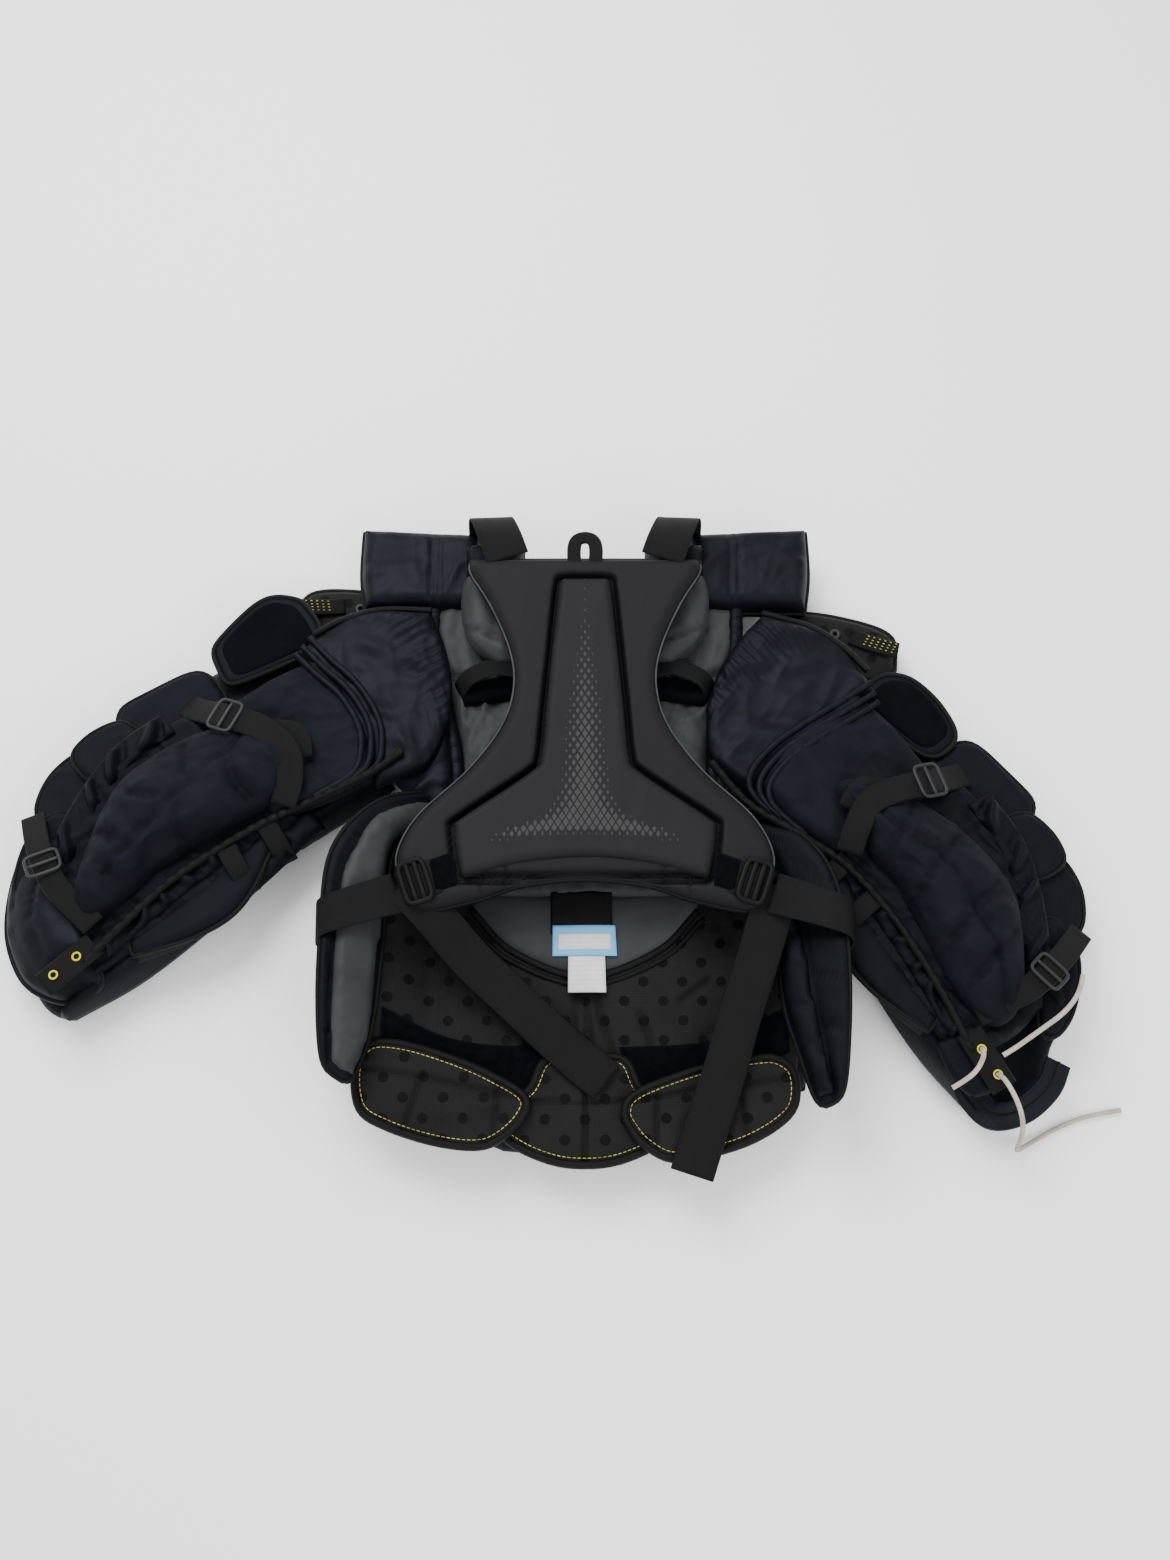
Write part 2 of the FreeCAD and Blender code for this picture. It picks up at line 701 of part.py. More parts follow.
LACE_ROUTES = {
    "lace_inner": [
        (360.5, -200.2, 82.1), (360, -203, 90), (357, -211, 96), (350, -222, 97), (340, -230, 94),
        (329, -236, 89),
    ],
    "lace_end": [
        (373.2, -222.9, 82.1), (374.5, -226, 90), (379, -237, 96), (385, -251, 95), (390, -264, 86),
        (393, -273, 71), (395, -279, 54), (397, -283, 37), (400, -284, 21), (408, -281, 10),
        (422, -274, 4.5), (438, -265, 3), (456, -257, 3), (480, -249, 3), (508, -245, 3),
    ],
    "lace_outer": [
        (379.6, -205.6, 80.4), (390, -199.8, 82.6), (403, -191, 87), (418, -181, 90), (433, -171, 90),
        (446, -159, 88), (456, -145, 84), (462, -131, 77),
    ],
}


def tangent_route(points):
    """The wire through a route's points, and its tightest arc."""
    spots = [FreeCAD.Vector(*point) for point in points]
    runs = [(b - a).Length for a, b in zip(spots, spots[1:])]
    edges = []
    radii = []
    last = spots[0]
    for index in range(1, len(spots) - 1):
        before = (spots[index - 1] - spots[index]).normalize()
        after = (spots[index + 1] - spots[index]).normalize()
        turn = math.pi - before.getAngle(after)
        reach = 0.45 * min(runs[index - 1], runs[index])
        radius = reach / math.tan(turn / 2)
        radii.append(radius)
        start = spots[index] + before * reach
        end = spots[index] + after * reach
        inward = (before + after).normalize()
        middle = spots[index] + inward * (radius / math.cos(turn / 2) - radius)
        edges.append(Part.LineSegment(last, start).toShape())
        edges.append(Part.Arc(start, middle, end).toShape())
        last = end
    edges.append(Part.LineSegment(last, spots[-1]).toShape())
    return Part.Wire(edges), min(radii)


def make_laces():
    radius = value("lace_diameter / 2")
    for name, points in LACE_ROUTES.items():
        wire, tightest = tangent_route(points)
        heading = FreeCAD.Vector(*points[1]) - FreeCAD.Vector(*points[0])
        ring = Part.Wire(Part.Circle(FreeCAD.Vector(*points[0]), heading, radius).toShape())
        tube = wire.makePipeShell([ring], True, False)
        feature = doc.addObject("Part::Feature", name)
        feature.Shape = tube
        feature.Placement = FreeCAD.Placement()
        expected = math.pi * radius**2 * wire.Length
        print(f"{name}: length {wire.Length:.0f}, tightest arc {tightest:.1f}, "
              f"volume {tube.Volume / expected:.3f} of section times length")
        keep(name, feature)


make_torso()
make_liners()
make_yoke()
make_back_pad()
make_strap_tail("strap_tail_left", -1, "tail_left_length", "tail_left_angle")
make_strap_tail("strap_tail_right", 1, "tail_right_length", "tail_right_angle")
make_wing("wing_left", -1)
make_wing("wing_right", 1)
make_belly_flaps()
for arm_side, arm_suffix in ((-1, "left"), (1, "right")):
    make_shoulder_cap(arm_side, arm_suffix)
    make_upper_arm(arm_side, arm_suffix)
    make_elbow_pad(arm_side, arm_suffix)
    make_forearm(arm_side, arm_suffix)
make_laces()
doc.recompute()

for item in doc.Objects:
    if "Invalid" in item.State or "Error" in item.State:
        raise RuntimeError(f"{item.Label} failed: {item.State}")
for name, item in nodes.items():
    if item.Shape.isNull() or not item.Shape.isValid() or not item.Shape.Solids:
        raise RuntimeError(f"{name} has no valid solid")

os.makedirs("parts", exist_ok=True)
for name, item in nodes.items():
    item.Shape.exportStep(f"parts/{name}.step")
print(len(nodes), "sub-parts")
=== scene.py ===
import json
import math

import bpy
import numpy as np
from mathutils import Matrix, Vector


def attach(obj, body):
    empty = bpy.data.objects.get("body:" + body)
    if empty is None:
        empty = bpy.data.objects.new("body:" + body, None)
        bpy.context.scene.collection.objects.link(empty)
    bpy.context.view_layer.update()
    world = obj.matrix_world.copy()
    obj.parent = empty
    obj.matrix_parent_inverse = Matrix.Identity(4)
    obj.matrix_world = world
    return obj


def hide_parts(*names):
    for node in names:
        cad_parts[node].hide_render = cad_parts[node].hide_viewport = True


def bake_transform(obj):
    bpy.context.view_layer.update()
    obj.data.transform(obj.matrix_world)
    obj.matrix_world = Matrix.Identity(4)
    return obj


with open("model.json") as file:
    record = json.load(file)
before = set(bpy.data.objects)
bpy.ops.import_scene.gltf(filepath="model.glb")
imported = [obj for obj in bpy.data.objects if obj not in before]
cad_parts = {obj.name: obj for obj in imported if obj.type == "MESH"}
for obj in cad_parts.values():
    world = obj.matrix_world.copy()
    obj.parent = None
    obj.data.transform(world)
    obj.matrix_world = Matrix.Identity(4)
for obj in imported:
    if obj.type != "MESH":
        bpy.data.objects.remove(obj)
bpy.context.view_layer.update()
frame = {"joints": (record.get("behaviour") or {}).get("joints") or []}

# Looks of a goalkeeper's chest-and-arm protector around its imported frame.
# Lengths in this script are millimetres until a mesh is stored, which is in metres. The torso's plans are
# (x, y) in the frame. A sleeve's plans are (a, t): a along it from the shoulder joint, and t across it
# towards its outer edge.

MM = 0.001
JOINTS = {joint["name"]: joint for joint in frame["joints"]}
SIDES = {"left": -1, "right": 1}


# ---------------------------------------------------------------- camera and lamps

CAMERA_TARGET = (0, 0.075, 0.040)
CAMERA_DISTANCE = 1.45
CAMERA_TILT = 70


def make_camera():
    """A camera over the object's lower edge that looks steeply down, tilted from the floor by its angle."""
    data = bpy.data.cameras.new("camera")
    data.sensor_width = 36
    data.lens = 33.46
    camera = bpy.data.objects.new("camera", data)
    bpy.context.scene.collection.objects.link(camera)
    tilt = math.radians(CAMERA_TILT)
    back = Vector((0, -math.cos(tilt), math.sin(tilt)))
    camera.location = Vector(CAMERA_TARGET) + back * CAMERA_DISTANCE
    camera.rotation_euler = (-back).to_track_quat("-Z", "Y").to_euler()
    bpy.context.scene.camera = camera


def make_light(name, spot, aim, size, power):
    """A square soft lamp at a spot, turned to its aim."""
    data = bpy.data.lights.new(name, "AREA")
    data.size = size
    data.energy = power
    lamp = bpy.data.objects.new(name, data)
    lamp.location = spot
    lamp.rotation_euler = (Vector(aim) - Vector(spot)).to_track_quat("-Z", "Y").to_euler()
    bpy.context.scene.collection.objects.link(lamp)


# ---------------------------------------------------------------- laces: routes as in the frame

LACE_ROUTES = {
    "lace_inner": [(360.5, -200.2, 82.1), (360, -203, 90), (357, -211, 96), (350, -222, 97),
                   (340, -230, 94), (329, -236, 89),],
    "lace_end": [(373.2, -222.9, 82.1), (374.5, -226, 90), (379, -237, 96), (385, -251, 95),
                 (390, -264, 86), (393, -273, 71), (395, -279, 54), (397, -283, 37), (400, -284, 21),
                 (408, -281, 10), (422, -274, 4.5), (438, -265, 3), (456, -257, 3), (480, -249, 3),
                 (508, -245, 3),],
    "lace_outer": [(379.6, -205.6, 80.4), (390, -199.8, 82.6), (403, -191, 87), (418, -181, 90),
                   (433, -171, 90), (446, -159, 88), (456, -145, 84), (462, -131, 77),],
}
LACE_DIAMETER = 4.5


def lace_curve(name, points):
    """A smooth spline with the route's points as its control points, given the lace's round section."""
    data = bpy.data.curves.new(name, "CURVE")
    data.dimensions = "3D"
    data.bevel_depth = LACE_DIAMETER / 2 * MM
    data.bevel_resolution = 4
    data.use_fill_caps = True
    data.resolution_u = 10
    spline = data.splines.new("NURBS")
    spline.points.add(len(points) - 1)
    for control, spot in zip(spline.points, points):
        control.co = (spot[0] * MM, spot[1] * MM, spot[2] * MM, 1)
    spline.order_u = 3
    spline.use_endpoint_u = True
    lace = bpy.data.objects.new(name, data)
    bpy.context.scene.collection.objects.link(lace)
    return lace


def make_laces(finish):
    for name, points in LACE_ROUTES.items():
        lace = lace_curve(f"{name}_cord", points)
        lace.data.materials.append(finish)
        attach(lace, "forearm_right")
        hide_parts(name)


# ---------------------------------------------------------------- surfaces from formulas

def spread(points, count):
    """A smooth curve through the points (Catmull-Rom), sampled evenly along its length."""
    spots = np.array(points, float)
    if len(spots) == 2:
        share = np.linspace(0, 1, count)[:, None]
        return spots[0] * (1 - share) + spots[1] * share
    padded = np.vstack([2 * spots[0] - spots[1], spots, 2 * spots[-1] - spots[-2]])
    u = np.linspace(0, 1, 24, endpoint=False)[:, None, None]
    a, b, c, d = padded[:-3], padded[1:-2], padded[2:-1], padded[3:]
    fine = (0.5
            * (2 * b + (c - a) * u + (2 * a - 5 * b + 4 * c - d) * u**2 + (3 * b - a - 3 * c + d) * u**3))
    fine = np.vstack([fine.transpose(1, 0, 2).reshape(-1, spots.shape[1]), spots[-1:]])
    return even(fine, count)


def even(line, count):
    """The same line with its points evenly spaced."""
    steps = np.r_[0, np.cumsum(np.linalg.norm(np.diff(line, axis=0), axis=1))]
    marks = np.linspace(0, steps[-1], count)
    return np.stack([np.interp(marks, steps, line[:, k]) for k in range(line.shape[1])], axis=1)


def length_of(line):
    return float(np.linalg.norm(np.diff(np.array(line, float), axis=0), axis=1).sum())


def around(points, corners):
    """Four sides cut from a closed smooth outline at four of its points, counted anticlockwise from the lower
    left corner. Bottom and top run left to right, right and left run upwards."""
    spots = np.array(points, float)
    u = np.linspace(0, 1, 12, endpoint=False)[None, :, None]
    a, b, c, d = (np.roll(spots, shift, axis=0)[:, None] for shift in (1, 0, -1, -2))
    fine = (0.5
            * (2 * b + (c - a) * u + (2 * a - 5 * b + 4 * c - d) * u**2 + (3 * b - a - 3 * c + d) * u**3))
    fine = fine.reshape(-1, 2)

    def part(start, end):
        start, end = start * 12, end * 12
        return np.take(fine, np.arange(start, end + 1 if end > start else end + len(fine) + 1), axis=0,
                       mode="wrap")

    i, j, k, l = corners
    return part(i, j), part(j, k), part(k, l)[::-1], part(l, i)[::-1]


def net(sides, step):
    """A Coons patch: a grid of plan points filling four sides. Bottom and top run left to right, left and
    right run upwards."""
    bottom, right, top, left = sides
    across = max(6, int(max(length_of(bottom), length_of(top)) / step))
    along = max(6, int(max(length_of(left), length_of(right)) / step))
    b, t = spread(bottom, across + 1), spread(top, across + 1)
    l, r = spread(left, along + 1), spread(right, along + 1)
    u = np.linspace(0, 1, across + 1)[None, :, None]
    v = np.linspace(0, 1, along + 1)[:, None, None]
    ruled = (1 - v) * b[None] + v * t[None] + (1 - u) * l[:, None] + u * r[:, None]
    corners = (1 - u) * (1 - v) * b[0] + u * (1 - v) * b[-1] + (1 - u) * v * t[0] + u * v * t[-1]
    return ruled - corners


def ring_of(grid):
    """The grid's outer edge, once round."""
    return np.vstack([grid[0, :-1], grid[:-1, -1], grid[-1, :0:-1], grid[:0:-1, 0]])


def distance(x, y, line, closed=False):
    """How far each plan point is from a line."""
    line = np.array(line, float)
    ends = np.roll(line, -1, axis=0) if closed else line[1:]
    starts = line if closed else line[:-1]
    spots = np.stack([x.ravel(), y.ravel()], axis=1)
    best = np.full(len(spots), 1e9)
    for chunk in np.array_split(np.arange(len(starts)),
                                max(1, len(starts) * len(spots) // 3_000_000 + 1)):
        p, d = starts[chunk], ends[chunk] - starts[chunk]
        rel = spots[:, None] - p[None]
        share = np.clip((rel * d).sum(-1) / np.maximum((d * d).sum(-1), 1e-9), 0, 1)
        gap = np.linalg.norm(rel - share[..., None] * d, axis=-1)
        best = np.minimum(best, gap.min(axis=1))
    return best.reshape(x.shape)


def hashed(i, j, seed):
    """A fixed pseudo-random number from 0 to 1 for each lattice point."""
    k = (i * 374761393 + j * 668265263 + seed * 974634777) & 0xFFFFFFFF
    k = ((k ^ (k >> 13)) * 1274126177) & 0xFFFFFFFF
    return ((k ^ (k >> 16)) & 0xFFFF) / 65535.0


def noise(x, y, seed):
    """Smooth value noise from 0 to 1, one lattice cell per unit."""
    i, j = np.floor(x).astype(np.int64), np.floor(y).astype(np.int64)
    u, v = x - i, y - j
    u, v = u * u * (3 - 2 * u), v * v * (3 - 2 * v)
    low = hashed(i, j, seed) * (1 - u) + hashed(i + 1, j, seed) * u
    high = hashed(i, j + 1, seed) * (1 - u) + hashed(i + 1, j + 1, seed) * u
    return low * (1 - v) + high * v


def creases(x, y, size, seed, turn=0.0, stretch=2.5):
    """Cloth folds from -1 to 1: noise drawn out along one direction, folded sharp at its ridges. Size is a
    fold's width, turn its direction, and stretch how many widths long it is."""
    c, s = math.cos(turn), math.sin(turn)
    along, across = (x * c + y * s) / (size * stretch), (y * c - x * s) / size
    bend = noise(along * 0.7, across * 0.7, seed + 5) * 2.2
    ridge = 1 - np.abs(2 * noise(along + bend, across + bend, seed) - 1) * 2
    fine = 1 - np.abs(2 * noise(along * 2.3 - bend, across * 2.3, seed + 9) - 1) * 2
    return 0.72 * ridge + 0.28 * fine


def swells(x, y, size, seed, turn=0.0, stretch=2.0):
    """Soft rolls of loose cloth from -1 to 1: the same drawn-out noise, left round."""
    c, s = math.cos(turn), math.sin(turn)
    along, across = (x * c + y * s) / (size * stretch), (y * c - x * s) / size
    bend = noise(along * 0.6, across * 0.6, seed + 3) * 1.6
    slow = noise(along + bend, across + bend, seed)
    quick = noise(along * 2 - bend, across * 2, seed + 7)
    return 1.4 * slow + 0.6 * quick - 1


def groove(gap, width, depth):
    """A sewn channel: a valley of that depth where the gap is nought."""
    return -depth * np.exp(-((gap / width) ** 2))


# ---------------------------------------------------------------- where local plans go

def flat(x, y, z):
    return np.stack([x, y, z], axis=-1)


SLEEVE_MARKS = np.linspace(-80, 560, 641)
SHOULDER_MARK = 80
ELBOW_TURN = math.radians(8)
ELBOW_ZONE = 60


def sleeve_place(side):
    """Maps (along, across, height) on a sleeve to the frame. The middle line has a mark each millimetre. It
    runs from the shoulder joint through the elbow joint, and turns smoothly over the elbow's zone."""
    suffix = "right" if side > 0 else "left"
    shoulder = np.array(JOINTS[f"shoulder_{suffix}_raise"]["pos_m"][:2]) / MM
    elbow = np.array(JOINTS[f"elbow_{suffix}_bend"]["pos_m"][:2]) / MM
    reach = np.linalg.norm(elbow - shoulder)
    heading = math.atan2(*(elbow - shoulder)[::-1])
    share = np.clip((SLEEVE_MARKS - reach + ELBOW_ZONE / 2) / ELBOW_ZONE, 0, 1)
    turn = heading - side * ELBOW_TURN * share * share * (3 - 2 * share)
    steps = np.stack([np.cos(turn), np.sin(turn)], axis=1)
    line = np.cumsum(steps, axis=0)
    line += shoulder - line[SHOULDER_MARK]

    def place(a, t, z):
        way = np.interp(a, SLEEVE_MARKS, turn)
        x = np.interp(a, SLEEVE_MARKS, line[:, 0]) - np.sin(way) * side * t
        y = np.interp(a, SLEEVE_MARKS, line[:, 1]) + np.cos(way) * side * t
        return np.stack([x, y, z], axis=-1)

    return place


SLEEVE = {suffix: sleeve_place(side) for suffix, side in SIDES.items()}


def sleeve_spot(suffix, a, t, z):
    """One point of a sleeve, in the frame."""
    return tuple(SLEEVE[suffix](np.array(float(a)), np.array(float(t)), np.array(float(z))))


def sleeve_route(suffix, spots):
    return [sleeve_spot(suffix, *spot) for spot in spots]


BLEND_HEIGHT = 60


def over_joint(suffix, upper, lower, start, end):
    """The two bodies that a piece lies across, and the points where its span over the joint starts and ends,
    in metres.
    """
    first, last = (tuple(np.array(sleeve_spot(suffix, a, 0, BLEND_HEIGHT)) * MM) for a in (start, end))
    return upper, lower, first, last


def over_shoulder(suffix):
    return over_joint(suffix, "torso", f"upper_arm_{suffix}", -45, 35)


def over_elbow(suffix, start=175, end=235):
    return over_joint(suffix, f"upper_arm_{suffix}", f"forearm_{suffix}", start, end)


# ---------------------------------------------------------------- meshes

def store(name, spots, quads, cloth=None, caps=(), shade=None):
    """A mesh object from points in millimetres, quads, flat cloth coordinates in metres, end caps, and how
    open to the light each point is (1 on a crest, less in a fold), which the finishes paint as shade."""
    spots = np.asarray(spots, float).reshape(-1, 3)
    quads = np.asarray(quads, np.int64).reshape(-1, 4)
    a, b, c, d = (spots[quads[:, k]] for k in range(4))
    volume = (np.cross(a, b) * c).sum() + (np.cross(a, c) * d).sum()
    # A negative volume means that the faces point inwards.
    if volume < 0:
        quads = quads[:, ::-1]
        caps = [cap[::-1] for cap in caps]
    loops = np.concatenate([quads.ravel(), *[np.asarray(cap) for cap in caps]]).astype(np.int32)
    totals = np.array([4] * len(quads) + [len(cap) for cap in caps], np.int32)
    mesh = bpy.data.meshes.new(name)
    mesh.vertices.add(len(spots))
    mesh.vertices.foreach_set("co", (spots * MM).astype(np.float32).ravel())
    mesh.loops.add(len(loops))
    mesh.loops.foreach_set("vertex_index", loops)
    mesh.polygons.add(len(totals))
    mesh.polygons.foreach_set("loop_start", np.r_[0, np.cumsum(totals)[:-1]].astype(np.int32))
    mesh.polygons.foreach_set("loop_total", totals)
    mesh.polygons.foreach_set("use_smooth", np.ones(len(totals), bool))
    mesh.update(calc_edges=True)
    mesh.validate()
    if cloth is not None:
        layer = mesh.uv_layers.new(name="cloth")
        index = np.zeros(len(mesh.loops), np.int32)
        mesh.loops.foreach_get("vertex_index", index)
        layer.data.foreach_set("uv",
                               (np.asarray(cloth).reshape(-1, 2)[index] * MM).astype(np.float32).ravel())
    # open_share carries the painted shade: the finishes darken the colour where it is below 1.
    open_share = np.ones(len(spots)) if shade is None else np.asarray(shade, float).ravel()
    mesh.attributes.new("open_share", "FLOAT", "POINT").data.foreach_set("value",
                                                                         open_share.astype(np.float32))
    piece = bpy.data.objects.new(name, mesh)
    bpy.context.scene.collection.objects.link(piece)
    return piece


def grid_quads(rows, columns, start=0, wrap=False):
    """Quads of a grid of points, closed round its columns where wrap is true."""
    i = np.arange(rows - 1)[:, None]
    j = np.arange(columns if wrap else columns - 1)[None]
    k = (j + 1) % columns
    return (start
            + np.stack([i * columns + j, i * columns + k, (i + 1) * columns + k, (i + 1) * columns + j],
                       axis=-1).reshape(-1, 4))


def puff(spots, quads, swell, voxel=5.0):
    """Inflates a closed shape as stuffed cloth: voxel remesh, cloth pressure with no gravity, and a cap on
    how far a point may move. Returns the new points and quads."""
    piece = store("stuffing", spots, quads)
    remesh = piece.modifiers.new("remesh", "REMESH")
    remesh.mode = "VOXEL"
    remesh.voxel_size = voxel * MM
    bpy.context.view_layer.update()
    graph = bpy.context.evaluated_depsgraph_get()
    mesh = bpy.data.meshes.new_from_object(piece.evaluated_get(graph))
    piece.modifiers.clear()
    piece.data = mesh
    before = np.zeros(len(mesh.vertices) * 3, np.float32)
    mesh.vertices.foreach_get("co", before)
    cloth = piece.modifiers.new("cloth", "CLOTH")
    cloth.settings.quality = 5
    cloth.settings.use_pressure = True
    cloth.settings.uniform_pressure_force = 4
    cloth.settings.tension_stiffness = 12
    cloth.settings.bending_stiffness = 0.4
    cloth.settings.effector_weights.gravity = 0
    cloth.collision_settings.use_collision = False
    scene = bpy.context.scene
    for step in range(1, 21):
        scene.frame_set(step)
    graph = bpy.context.evaluated_depsgraph_get()
    swollen = piece.evaluated_get(graph).to_mesh()
    after = np.zeros(len(mesh.vertices) * 3, np.float32)
    swollen.vertices.foreach_get("co", after)
    faces = [tuple(face.vertices) for face in mesh.polygons]
    scene.frame_set(1)
    bpy.data.objects.remove(piece)
    before, after = before.reshape(-1, 3) / MM, after.reshape(-1, 3) / MM
    move = after - before
    size = np.linalg.norm(move, axis=1, keepdims=True)
    move *= np.minimum(1, swell / np.maximum(size, 1e-6))
    full = [face if len(face) == 4 else face + (face[-1],) for face in faces]
    return before + move, np.array(full, np.int64)


def openness(fold):
    """Share of light that reaches a fold: 1 at or above the skin, falling with the depth below it. The
    finishes paint it into the colour as shade.
    """
    return 1 / (1 + np.clip(-np.asarray(fold, float), 0, None) * 0.22) ** 1.3


def cushion(name, sides, level, up, down, edge, step=3.5, relief=None, place=flat, rim=1.2, swell=0):
    """A padded piece over a plan. Its skin leaves a middle height as a quarter round of the edge's width:
    height = level + up * sqrt(1 - (1 - d / edge)^2), with d the distance from the outline, and the same down.
    Relief adds folds and seams to the top. Returns the piece and its outline in plan."""
    grid = net(sides, step)
    x, y = grid[..., 0], grid[..., 1]
    outline = ring_of(grid)
    gap = distance(x, y, outline, closed=True)
    gap[0], gap[-1], gap[:, 0], gap[:, -1] = 0, 0, 0, 0
    dome = np.sqrt(1 - (1 - np.clip(gap / edge, 0, 1)) ** 2)
    middle = level(x, y) if callable(level) else level + 0 * x
    rise = up(x, y) if callable(up) else up
    drop = down(x, y) if callable(down) else down
    top = middle + rim / 2 + rise * dome
    base = middle - rim / 2 - drop * dome
    rows, columns = x.shape
    quads = shell_quads(rows, columns)
    if swell:
        spots = np.vstack([flat(x, y, top).reshape(-1, 3), flat(x, y, base).reshape(-1, 3)])
        spots, quads = puff(spots, quads, swell)
        middle = level(spots[:, 0], spots[:, 1]) if callable(level) else level
        upper = spots[:, 2] > middle + 1
        inside = distance(spots[:, 0], spots[:, 1], outline, closed=True)
        fading = np.clip(2 * inside / edge, 0, 1) * upper
        fold = relief(spots[:, 0], spots[:, 1], inside) * fading if relief else 0
        spots[:, 2] += fold
        # Painted shade: the fold depth sets how dark the finishes paint each point.
        piece = store(name, place(spots[:, 0], spots[:, 1], spots[:, 2]), quads, spots[:, :2],
                      shade=openness(fold) + 0 * spots[:, 0])
        smooth = piece.modifiers.new("finish", "SUBSURF")
        smooth.levels = smooth.render_levels = 1
        return piece, outline
    fold = relief(x, y, gap) * np.clip(2 * gap / edge, 0, 1) if relief else 0 * x
    spots = np.concatenate([place(x, y, top + fold).reshape(-1, 3), place(x, y, base).reshape(-1, 3)])
    cloth = np.concatenate([grid.reshape(-1, 2)] * 2)
    # Painted shade: the fold depth sets how dark the top is painted; the underside is left unshaded.
    shade = np.concatenate([openness(fold).ravel(), np.ones(x.size)])
    return store(name, spots, quads, cloth, shade=shade), outline


def shell_quads(rows, columns):
    """Quads of a top grid, a bottom grid and the wall between their edges."""
    top = grid_quads(rows, columns)
    bottom = grid_quads(rows, columns, rows * columns)[:, ::-1]
    index = np.arange(rows * columns).reshape(rows, columns)
    ring = np.concatenate([index[0, :-1], index[:-1, -1], index[-1, :0:-1], index[:0:-1, 0]])
    after = np.roll(ring, -1)
    wall = np.stack([after, ring, ring + rows * columns, after + rows * columns], axis=1)
    return np.concatenate([top, bottom, wall])


def carried(name, line, section, upward, closed=False):
    """A profile carried along a line. The section's first coordinate goes across the line, its second along
    the upward direction made square to the line."""
    line = np.asarray(line, float)
    if closed:
        ahead = np.roll(line, -1, axis=0) - np.roll(line, 1, axis=0)
    else:
        ahead = np.gradient(line, axis=0)
    ahead /= np.maximum(np.linalg.norm(ahead, axis=1, keepdims=True), 1e-9)
    upward = np.broadcast_to(np.asarray(upward, float), line.shape)
    across = np.cross(ahead, upward)
    across /= np.maximum(np.linalg.norm(across, axis=1, keepdims=True), 1e-9)
    normal = np.cross(across, ahead)
    section = np.asarray(section, float)
    rings = (line[:, None] + across[:, None] * section[None, :, :1]
             + normal[:, None] * section[None, :, 1:])
    count, sides = rings.shape[:2]
    run = np.r_[0, np.cumsum(np.linalg.norm(np.diff(line, axis=0), axis=1))]
    cloth = np.stack(np.broadcast_arrays(section[None, :, 0], run[:, None]), axis=-1)
    quads = grid_quads(count, sides, wrap=True)
    caps = []
    if closed:
        last = (count - 1) * sides
        j = np.arange(sides)
        k = (j + 1) % sides
        quads = np.concatenate([quads, np.stack([last + j, last + k, k, j], axis=1)])
    else:
        caps = [np.arange(sides)[::-1], (count - 1) * sides + np.arange(sides)]
    return store(name, rings, quads, cloth, caps)


def round_section(width, height, count=12):
    turn = np.linspace(0, 2 * math.pi, count, endpoint=False)
    return np.stack([np.cos(turn) * width / 2, np.sin(turn) * height / 2], axis=1)


def tape_section(width, depth):
    """A flat band with softened edges and a few points across its faces."""
    half, lip = width / 2, depth / 2
    face = np.linspace(-half + lip, half - lip, 7)
    over = np.stack([face, np.full(7, lip)], axis=1)
    under = np.stack([face[::-1], np.full(7, -lip)], axis=1)
    return np.vstack([over, [[half, 0]], under, [[-half, 0]]])


def webbing(name, points, width, body, replaced=(), depth=1.8, upward=(0, 0, 1)):
    """A strap along a line of points in the frame. Upward may be one direction or one for each point."""
    count = max(8, int(length_of(points) / 4))
    if np.ndim(upward) == 2:
        upward = spread(upward, count)
    strap = carried(name, spread(points, count), tape_section(width, depth), upward)
    dress(strap, "webbing", body, replaced)


def binding(name, outline, height, body, width, depth, place=flat, finish="binding",
            across=None):
    """Edge tape folded over a pad's rim: a flattened round carried along the outline."""
    line = even(np.vstack([outline, outline[:1]]), max(24, int(length_of(outline) / 5)))[:-1]
    z = height(line[:, 0], line[:, 1]) if callable(height) else np.full(len(line), float(height))
    section = round_section(width, depth, 10)
    tape = carried(name, place(line[:, 0], line[:, 1], z), section, (0, 0, 1), closed=True)
    dress(tape, finish, body, across=across)


def rope(name, line, heights, width, depth, body, place=flat, finish="binding",
         across=None):
    """A round roll of cloth over a line in plan, at a height or with one for each point."""
    spots = place(line[:, 0], line[:, 1], heights + np.zeros(len(line)))
    roll = carried(name, spots, round_section(width, depth), (0, 0, 1))
    dress(roll, finish, body, across=across)


def inset(outline, amount):
    """The outline moved inwards by an amount, square to itself."""
    ahead = np.roll(outline, -2, axis=0) - np.roll(outline, 2, axis=0)
    ahead /= np.maximum(np.linalg.norm(ahead, axis=1, keepdims=True), 1e-9)
    inward = np.stack([-ahead[:, 1], ahead[:, 0]], axis=1)
    centre = outline.mean(axis=0)
    if ((centre - outline) * inward).sum() < 0:
        inward = -inward
    return outline + inward * amount


